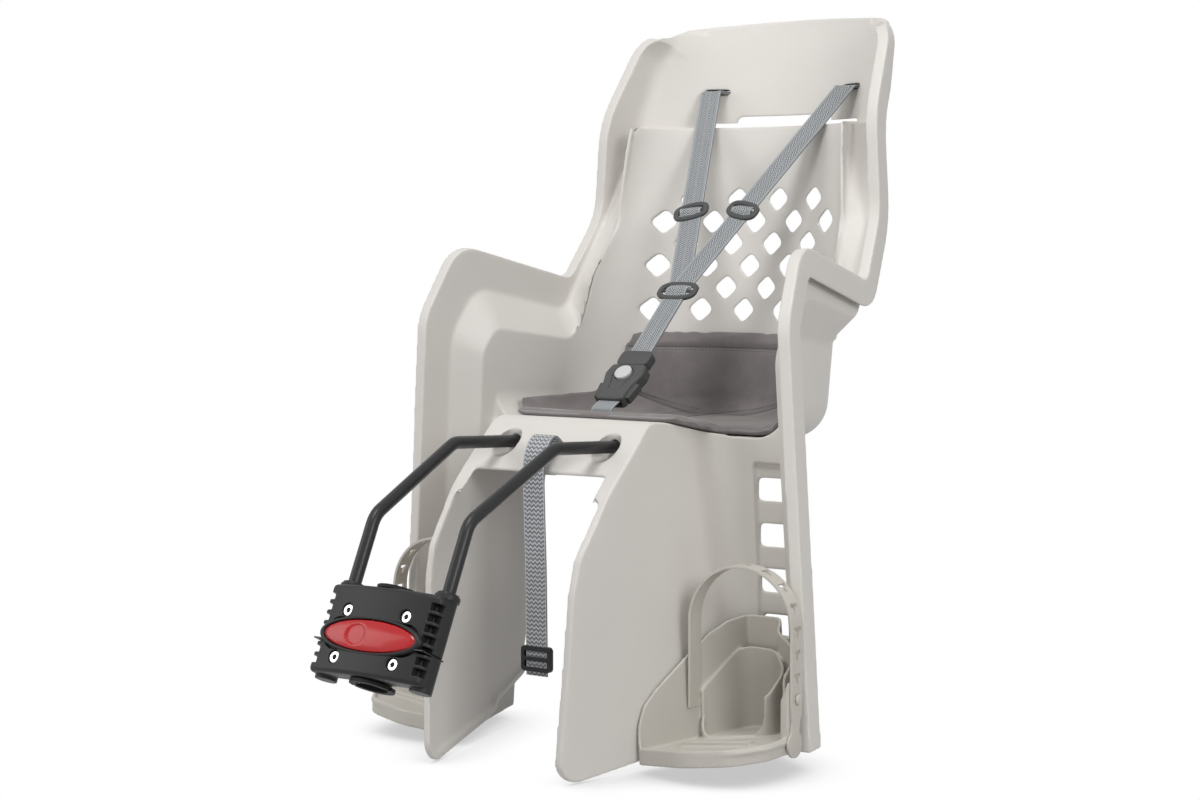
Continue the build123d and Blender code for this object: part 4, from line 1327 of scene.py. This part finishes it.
@dataclass
class ReleaseButton:
    """Long oval push button with a thumb dish, and the black rim round it, in the bracket's own frame."""

    tilt: float = 26.0
    level: float = -4.7
    half_long: float = 50.4
    half_high: float = 14.1
    back: float = -22.3
    edge: float = -24.3
    crown: float = 2.6
    fall: float = 1.2
    edge_drop: float = 0.9
    face_steps: int = 30
    dish_middle: float = -13.0
    dish_radius: float = 12.0
    dish_depth: float = 1.5
    rim_gap: float = 0.5
    rim_wide: tuple[float, float] = (56.0, 17.6)
    rim_back: float = -17.8
    rim_front: float = -25.4
    rim_fall: float = 2.0
    rim_profile: tuple[tuple[float, float], ...] = (
        (0.0, 0.0),
        (0.0, 0.9),
        (0.12, 1.0),
        (0.5, 1.0),
        (0.85, 0.86),
        (1.0, 0.5),
        (1.0, 0.0),
    )
    segments: int = 96

    def place(self) -> Matrix:
        """The bracket's frame in millimetres: X across, Y into the block and Z up along the seat tube."""
        return Matrix.Rotation(math.radians(-self.tilt), 4, "X") @ Matrix.Scale(0.001, 4)

    def ring(self, half_long: float, half_high: float) -> Outline:
        """Points of an oval round the button's middle."""
        angles = turns(self.segments)
        return [(half_long * math.cos(turn), self.level + half_high * math.sin(turn)) for turn in angles]

    def face(self, x: float, z: float) -> float:
        """How far out the button's face lies at a place."""
        share = (x / self.half_long) ** 2 + ((z - self.level) / self.half_high) ** 2
        out = self.edge - self.crown * (1.0 - share) + self.fall * (x / self.half_long) ** 2
        far = math.hypot(x - self.dish_middle, 1.15 * (z - self.level)) / self.dish_radius
        return out + self.dish_depth * (1.0 - smooth_step(far, 0.72, 1.0))

    def button(self) -> bpy.types.Object:
        """The crowned button with its dish."""
        made = bmesh.new()
        loops = []
        steps = self.face_steps
        for share in [step / steps for step in range(1, steps)] + [0.985, 1.0]:
            drop = self.edge_drop * smooth_step(share, 0.94, 1.0)
            oval = self.ring(self.half_long * share, self.half_high * share)
            loops.append([made.verts.new((x, self.face(x, z) + drop, z)) for x, z in oval])
        oval = self.ring(self.half_long, self.half_high)
        loops.append([made.verts.new((x, self.back, z)) for x, z in oval])
        sew(made, loops)
        made.faces.new(loops[0])
        made.faces.new(loops[-1])
        made.transform(self.place())
        return mesh_piece("red_button", made)

    def rim(self) -> bpy.types.Object:
        """The black rim that the button sits in."""
        made = bmesh.new()
        inner = (self.half_long + self.rim_gap, self.half_high + self.rim_gap)
        loops = []
        for share, level in self.rim_profile:
            long = inner[0] + share * (self.rim_wide[0] - inner[0])
            high = inner[1] + share * (self.rim_wide[1] - inner[1])
            loop = []
            for x, z in self.ring(long, high):
                front = self.rim_front + self.rim_fall * (x / self.rim_wide[0]) ** 2
                loop.append(made.verts.new((x, self.rim_back + level * (front - self.rim_back), z)))
            loops.append(loop)
        sew(made, [*loops, loops[0]])
        made.transform(self.place())
        return mesh_piece("button_rim", made)

    def build(self) -> None:
        """Build the button and its rim."""
        seat_piece(self.button(), RED_PLASTIC, "release", "red_plastic", "release_button")
        seat_piece(self.rim(), BLACK_PLASTIC, "seat", "black_plastic")


@dataclass
class Bracket:
    """The bracket on the seat tube with its bar, bolts and red button."""

    voxel: float = 0.0006
    passes: int = 3
    faces: int = 110000
    bolt_column: float = 32.4
    bolt_levels: tuple[float, float] = (16.5, -26.0)
    socket_radius: float = 2.5
    socket_place: float = -19.4
    socket_depth: float = 2.0

    def sockets(self) -> None:
        """Black six-sided discs in the four bolt heads' sockets: painted shade where the hollows are dark."""
        made = bmesh.new()
        turn = Matrix.Rotation(math.radians(90), 4, "X")
        for side in Side:
            for level in self.bolt_levels:
                where = Matrix.Translation((side.value * self.bolt_column, self.socket_place, level)) @ turn
                add_cylinder(made, self.socket_radius, self.socket_depth, 6, where)
        made.transform(ReleaseButton().place())
        # The black liner rubber on these discs is painted shade in the sockets, not a part of the bolts.
        seat_piece(mesh_piece("bolt_socket_shade", made), BLACK_RUBBER, "seat", "black_plastic")

    def build(self) -> None:
        """Round the block, build its button and dress the other pieces."""
        block = rounded_copy("bracket_front", "bracket_block", self.voxel, self.passes, self.faces)
        seat_piece(block, BLACK_PLASTIC, "seat", "black_plastic", "bracket_front")
        dress_nodes(BLACK_PLASTIC, "bracket_rear")
        for end in ("front", "rear"):
            dress_nodes(BLACK_PLASTIC, "bar_saddle_" + end, "bar_clamp_" + end)
            dress_nodes(BLACK_RUBBER, "tube_liner_" + end)
            dress_nodes(BRIGHT_STEEL, "bar_clamp_screws_" + end)
        dress_nodes(BRIGHT_STEEL, "clamp_bolts", "clamp_nuts")
        dress_nodes(DARK_STEEL, "latch_plate")
        dress_nodes(SATIN_BLACK, "carrier_bar")
        # Black discs in the bolt sockets: painted shade.
        self.sockets()
        ReleaseButton().build()


@dataclass
class FootStrap:
    """One rubber strap, cut flat with its T-shaped holes and then bent over the foot."""

    side: Side
    inner: float = 124.6
    outer: float = 234.5
    middle: float = 36.0
    crown: float = -107.0
    bend: float = 54.0
    foot: float = -244.0
    end: float = -266.0
    half_width: float = 9.5
    thickness: float = 0.0025
    grip_radius: float = 12.5
    grip_shift: float = -2.6
    grip_turn: float = 146.0
    grip_steps: int = 16
    neck: float = 6.6
    neck_places: Point = (38.0, 27.0, 20.0)
    hole_count: int = 7
    hole_pitch: float = 21.2
    peg_radius: float = 2.7
    piece_length: float = 4.0
    soft_edge: float = 0.0006

    @property
    def rise(self) -> float:
        """Length of the inner leg up to the bend."""
        return self.crown - self.bend - self.foot

    @property
    def quarter(self) -> float:
        """Length of one bend."""
        return self.bend * math.pi / 2

    @property
    def level(self) -> float:
        """Length of the level stretch between the bends."""
        return self.outer - self.inner - 2 * self.bend

    @property
    def length(self) -> float:
        """Length of the strap up to the middle of its grip."""
        return self.rise + 2 * self.quarter + self.level + self.crown - self.bend - self.end

    def place(self, along: float, across: float) -> Vector:
        """Place in the frame of a point of the flat strap, in millimetres."""
        centre = self.crown - self.bend
        first = along - self.rise
        flat = first - self.quarter
        second = flat - self.level
        down = second - self.quarter
        if first < 0:
            x, z = self.inner, centre + first
        elif flat < 0:
            angle = first / self.bend
            x = self.inner + self.bend * (1 - math.cos(angle))
            z = centre + self.bend * math.sin(angle)
        elif second < 0:
            x, z = self.inner + self.bend + flat, self.crown
        elif down < 0:
            angle = second / self.bend
            x = self.outer - self.bend * (1 - math.sin(angle))
            z = centre + self.bend * math.cos(angle)
        else:
            x, z = self.outer, centre - down
        return seat(self.side.value * x, self.middle + across, z)

    def outline(self) -> Outline:
        """Edge of the flat strap with its narrow neck and round grip."""
        half = self.half_width
        long = self.length
        wide, slim, narrow = [long - place for place in self.neck_places]
        edge = [(0.0, -half), (wide, -half), (slim, -half + 0.8), (narrow, -self.neck - 1.0)]
        for step in range(self.grip_steps + 1):
            angle = math.radians(self.grip_turn * (2.0 * step / self.grip_steps - 1.0))
            x = long + self.grip_radius * math.cos(angle)
            edge.append((x, self.grip_shift + self.grip_radius * math.sin(angle)))
        return [*edge, (narrow, self.neck - 1.4), (slim, half - 0.8), (wide, half), (0.0, half)]

    def hole(self, along: float) -> Outline:
        """One T-shaped hole, its stem to the strap's end."""
        corner = [(-1.7, -5.0), (1.5, -5.0), (1.8, -1.9), (8.0, -1.2)]
        corner += [(x, -y) for x, y in reversed(corner)]
        return [(along + x, y) for x, y in corner]

    def build(self) -> None:
        """Cut the strap, bend it and give it its thickness."""
        crown = self.rise + self.quarter + self.level / 2
        peg = crown + self.hole_count * self.hole_pitch
        loops = [self.outline()]
        loops += [self.hole(crown + step * self.hole_pitch) for step in range(self.hole_count)]
        radius = self.peg_radius
        loops.append([(peg + radius * math.cos(a), radius * math.sin(a)) for a in turns(14)])
        piece = filled_outline("foot_band_" + self.side.word, loops)
        made = bmesh.new()
        made.from_mesh(piece.data)
        for step in range(1, int(self.length / self.piece_length)):
            parts = [*made.verts, *made.edges, *made.faces]
            cut = (self.piece_length * step, 0.0, 0.0)
            bmesh.ops.bisect_plane(made, geom=parts, plane_co=cut, plane_no=ACROSS)
        for vertex in made.verts:
            vertex.co = self.place(vertex.co.x, vertex.co.y)
        bmesh.ops.recalc_face_normals(made, faces=made.faces)
        made.to_mesh(piece.data)
        made.free()
        thick = piece.modifiers.new("thick", "SOLIDIFY")
        thick.thickness = self.thickness
        thick.offset = 0.0
        soft = piece.modifiers.new("soft", "BEVEL")
        soft.width = self.soft_edge
        soft.segments = 2
        soft.limit_method = "ANGLE"
        soft.angle_limit = math.radians(40)
        settle(piece)
        piece.data.shade_smooth()
        word = self.side.word
        seat_piece(piece, PALE_RUBBER, "foot_rest_" + word, "strap_rubber", "foot_strap_" + word)


@dataclass
class FootCup:
    """One foot cup: tray with its walls, heel ring, floor bar, strap ear and the tongue that slides."""

    side: Side
    corners: tuple[tuple[float, float], ...] = (
        (105.6, -31.4),
        (165.0, -46.0),
        (212.0, -38.0),
        (233.0, -8.0),
        (233.0, 44.5),
        (219.5, 46.5),
        (218.5, 79.0),
        (188.0, 98.0),
        (184.0, 112.0),
        (144.5, 112.0),
    )
    radii: tuple[float, ...] = (5.0, 60.0, 30.0, 24.0, 6.0, 5.0, 8.0, 10.0, 8.0, 8.0)
    inner_top: tuple[tuple[float, float], ...] = (
        (-33.0, -276.0),
        (-30.0, -256.0),
        (-22.0, -237.0),
        (-8.0, -224.0),
        (40.0, -191.0),
        (62.0, -178.0),
        (84.0, -169.0),
        (112.0, -165.0),
    )
    outer_top: tuple[tuple[float, float], ...] = ((45.0, -276.0), (51.0, -210.0), (112.0, -165.0))
    tray_middle: float = 160.0
    heel_corners: tuple[tuple[float, float], ...] = (
        (127.0, 32.0),
        (204.0, 44.0),
        (205.0, 78.0),
        (180.0, 102.0),
        (143.0, 104.0),
    )
    heel_radii: tuple[float, ...] = (14.0, 14.0, 20.0, 20.0, 20.0)
    heel_top: tuple[tuple[float, float], ...] = (
        (30.0, -252.0),
        (35.0, -240.0),
        (44.0, -229.0),
        (80.0, -206.0),
        (94.0, -197.0),
        (106.0, -193.0),
    )
    mouth: tuple[float, float] = (131.0, 199.0)
    mouth_depth: float = 12.0
    mouth_round: float = 13.0
    mouth_lip: float = 15.5
    mouth_stretch: float = 1.6
    low: float = -290.0
    slope: float = 0.12
    lean: float = -0.07
    thick: float = 3.0
    floor_top: float = 13.0
    lip: float = 15.5
    bar: tuple[float, float, float, float] = (136.0, 210.0, -5.0, 5.5)
    bar_top: float = 17.8
    bar_height: float = 4.0
    outline_gap: float = 1.5
    ear: tuple[float, float, float, float] = (224.5, 233.0, 24.0, 44.5)
    ear_top: float = -206.0
    ear_slope: float = 2.3
    tongue: tuple[float, float, float, float] = (160.4, 188.4, 109.5, 123.7)
    tongue_levels: tuple[float, float] = (-244.0, -184.0)
    voxel: float = 0.0009
    passes: int = 7
    faces: int = 90000

    def under(self, x: float) -> float:
        """Height of the cup's lower edge."""
        return self.low + self.slope * (x - self.corners[0][0])

    def tray_top(self, x: float, y: float) -> float:
        """Height of the tray's wall over a point of its edge."""
        line = self.outer_top if x > self.tray_middle else self.inner_top
        return max(self.under(x) + self.lip, level_at(list(line), y))

    def heel_wall(self, x: float, y: float) -> float:
        """Height of the heel ring's wall, low and with round corners at its mouth."""
        top = level_at(list(self.heel_top), y)
        inside = min(x - self.mouth[0], self.mouth[1] - x)
        (first_x, first_y), (last_x, last_y) = self.heel_corners[:2]
        front = first_y + (last_y - first_y) * (x - first_x) / (last_x - first_x)
        if y - front > self.mouth_depth or inside <= 0.0:
            return top
        rise = 0.0
        if inside < self.mouth_round:
            rise = self.mouth_round - math.sqrt(self.mouth_round**2 - (self.mouth_round - inside) ** 2)
        return min(top, self.under(x) + self.mouth_lip + self.mouth_stretch * rise)

    def spot(self, x: float, y: float, z: float, lean: float) -> Vector:
        """Place in the frame of a point of the cup."""
        return seat(self.side.value * (x + lean * (z - self.low)), y, z)

    def wall(self, made: bmesh.types.BMesh, outline: Outline, feet: list[float], tops: list[float]) -> None:
        """Add a wall along a closed outline.

        Args:
            made: Mesh that it goes into.
            outline: Outer edge of the wall.
            feet: Height of its foot at each point.
            tops: Height of its top at each point.
        """
        count = len(outline)
        loops = [[], [], [], []]
        for index, (x, y) in enumerate(outline):
            ahead = Vector(outline[(index + 1) % count]) - Vector(outline[index - 1])
            inward = Vector((-ahead.y, ahead.x)).normalized() * self.thick
            corners = [(0.0, feet), (0.0, tops), (1.0, tops), (1.0, feet)]
            for loop, (share, levels) in zip(loops, corners):
                spot = self.spot(x + share * inward.x, y + share * inward.y, levels[index], self.lean)
                loop.append(made.verts.new(spot))
        sew(made, [*loops, loops[0]])

    def prism(
        self, made: bmesh.types.BMesh, outline: Outline, feet: list[float], tops: list[float]
    ) -> None:
        """Add an upright block over a closed outline, with its foot and top at the given heights."""
        lower = [made.verts.new(self.spot(x, y, z, 0.0)) for (x, y), z in zip(outline, feet)]
        upper = [made.verts.new(self.spot(x, y, z, 0.0)) for (x, y), z in zip(outline, tops)]
        made.faces.new(lower)
        made.faces.new(upper)
        sew(made, [lower, upper])

    def block(self, low_x: float, high_x: float, low_y: float, high_y: float) -> Outline:
        """Corners of an upright block's plan."""
        return [(low_x, low_y), (high_x, low_y), (high_x, high_y), (low_x, high_y)]

    def build(self) -> None:
        """Join the cup's walls, floor and blocks into one moulding."""
        made = bmesh.new()
        edge = rounded_corners(list(self.corners), self.radii, self.outline_gap)
        feet = [self.under(x) for x, y in edge]
        self.wall(made, edge, feet, [self.tray_top(x, y) for x, y in edge])
        top = self.floor_top
        self.prism(made, edge, [foot + top - self.thick for foot in feet], [foot + top for foot in feet])
        ring = rounded_corners(list(self.heel_corners), self.heel_radii, self.outline_gap)
        feet = [self.under(x) + top - 1.0 for x, y in ring]
        self.wall(made, ring, feet, [self.heel_wall(x, y) for x, y in ring])
        bar = self.block(*self.bar)
        tops = [self.under(x) + self.bar_top for x, y in bar]
        self.prism(made, bar, [level - self.bar_height for level in tops], tops)
        ear = self.block(*self.ear)
        tops = [self.ear_top - self.ear_slope * (self.ear[1] - x) for x, y in ear]
        self.prism(made, ear, [self.under(x) for x, y in ear], tops)
        tongue = self.block(*self.tongue)
        self.prism(made, tongue, 4 * [self.tongue_levels[0]], 4 * [self.tongue_levels[1]])
        bmesh.ops.triangulate(made, faces=made.faces)
        word = self.side.word
        piece = rounded(mesh_piece("moulded_cup_" + word, made), self.voxel, self.passes, self.faces)
        seat_piece(piece, CUP_PLASTIC, "foot_rest_" + word, "shell", "foot_cup_" + word)


@dataclass
class FootPeg:
    """Mushroom peg that the foot strap is hooked on."""

    side: Side
    level: tuple[float, float] = (36.0, -224.6)
    start: float = 229.0
    profile: tuple[tuple[float, float], ...] = (
        (0.0, 2.3),
        (7.4, 2.3),
        (7.6, 4.7),
        (8.4, 5.0),
        (9.2, 4.4),
        (9.7, 3.0),
        (9.9, 1.2),
    )

    def build(self) -> None:
        """Turn the peg round its own line."""
        made = bmesh.new()
        y, z = self.level
        loops = []
        for along, radius in self.profile:
            x = self.side.value * (self.start + along)
            spots = [seat(x, y + radius * math.cos(turn), z + radius * math.sin(turn)) for turn in turns(28)]
            loops.append([made.verts.new(spot) for spot in spots])
        sew(made, loops)
        made.faces.new(loops[0])
        made.faces.new(loops[-1])
        word = self.side.word
        piece = mesh_piece("strap_peg_" + word, made)
        seat_piece(piece, PALE_RUBBER, "foot_rest_" + word, "shell", "foot_peg_" + word)


@dataclass
class FootRest:
    """One foot cup with its rubber strap and peg."""

    side: Side

    def build(self) -> None:
        """Build all three pieces."""
        FootCup(self.side).build()
        FootStrap(self.side).build()
        FootPeg(self.side).build()


@dataclass
class Studio:
    """Floor, light and camera."""

    place: Point = (1.2746, -1.5006, 0.3390)
    azimuth: float = 34.97
    elevation: float = 3.86
    lens: float = 68.86
    sensor: float = 36.0
    surroundings: float = 0.32
    floor_half: float = 30.0
    floor_drop: float = 0.0015
    floor_tone: float = 0.6
    shadow_reach: float = 0.09
    shadow_tone: float = 0.55
    aim: Point = (0.0, 0.3, 0.25)

    def rays(self, nodes: Nodes) -> bpy.types.NodeSocket:
        """Mask of the rays that see the background itself."""
        path = nodes.add("LightPath").outputs
        seen = nodes.math("MAXIMUM", path["Is Camera Ray"], path["Is Glossy Ray"])
        return nodes.math("MAXIMUM", seen, path["Is Transmission Ray"])

    def world(self) -> None:
        """White surroundings, dimmer as light than as background."""
        world = bpy.data.worlds.new("Studio white")
        bpy.context.scene.world = world
        world.use_nodes = True
        nodes = Nodes(world.node_tree)
        dim = world.node_tree.nodes["Background"]
        nodes.fill(dim, {"Color": WHITE, "Strength": self.surroundings})
        bright = nodes.add("Background", {"Color": WHITE, "Strength": 1.0})
        both = nodes.add("MixShader", {0: self.rays(nodes), 1: dim.outputs[0], 2: bright.outputs[0]})
        nodes.feed(world.node_tree.nodes["World Output"].inputs["Surface"], both.outputs[0])

    def floor(self) -> None:
        """Wide pale floor that shows white round the contact shadow."""
        half = self.floor_half
        level = cad_box[0].z - self.floor_drop
        mesh = bpy.data.meshes.new("floor")
        corners = [(-half, -half, level), (half, -half, level), (half, half, level), (-half, half, level)]
        mesh.from_pydata(corners, [], [(0, 1, 2, 3)])
        floor = link_new("floor", mesh)
        material = bpy.data.materials.new("Studio floor")
        material.use_nodes = True
        nodes = Nodes(material.node_tree)
        material.node_tree.nodes.remove(material.node_tree.nodes["Principled BSDF"])
        matt = nodes.add("BsdfDiffuse", {"Color": shade(WHITE[:3], self.floor_tone)})
        shadow = nodes.add("AmbientOcclusion", {"Distance": self.shadow_reach}, samples=12).outputs["AO"]
        white = nodes.mix(nodes.spread(shadow, 0.2, 0.8), shade(WHITE[:3], self.shadow_tone), WHITE)
        glow = nodes.add("Emission", {"Color": white, "Strength": 1.0})
        both = nodes.add("MixShader", {0: self.rays(nodes), 1: matt.outputs[0], 2: glow.outputs[0]})
        nodes.feed(material.node_tree.nodes["Material Output"].inputs["Surface"], both.outputs[0])
        mesh.materials.append(material)

    def lamp(self, name: str, place: Point, size: float, power: float) -> None:
        """One soft square lamp turned to the seat."""
        data = bpy.data.lights.new(name, "AREA")
        data.shape = "SQUARE"
        data.size = size
        data.energy = power
        lamp = link_new(name, data)
        lamp.location = place
        lamp.rotation_mode = "QUATERNION"
        lamp.rotation_quaternion = (Vector(self.aim) - Vector(place)).to_track_quat("-Z", "Y")

    def camera(self) -> None:
        """Camera at the photograph's place."""
        turn = math.radians(self.azimuth)
        rise = math.radians(self.elevation)
        data = bpy.data.cameras.new("camera")
        data.lens = self.lens
        data.sensor_width = self.sensor
        camera = link_new("camera", data)
        level = math.cos(rise)
        back = Vector((math.sin(turn) * level, -math.cos(turn) * level, math.sin(rise)))
        camera.location = self.place
        camera.rotation_mode = "QUATERNION"
        camera.rotation_quaternion = (-back).to_track_quat("-Z", "Y")
        bpy.context.scene.camera = camera

    def build(self) -> None:
        """Set up the whole studio."""
        bpy.context.scene.view_settings.view_transform = "Standard"
        self.world()
        self.floor()
        self.lamp("key", (0.2, -1.0, 3.0), 1.2, 50.0)
        self.lamp("fill", (-2.0, -1.6, 1.2), 1.6, 19.0)
        self.lamp("rim", (2.6, -0.9, 1.3), 1.2, 33.0)
        self.camera()


def main() -> None:
    """Build the studio and every sub-assembly in order."""
    logging.basicConfig(level=logging.INFO, format="%(name)s: %(message)s")
    Studio().build()
    SeatShell().build()
    Cushion().build()
    Harness().build()
    Buckle().build()
    SafetyStrap().build()
    Bracket().build()
    for side in Side:
        FootRest(side).build()


if __name__ == "__main__":
    main()
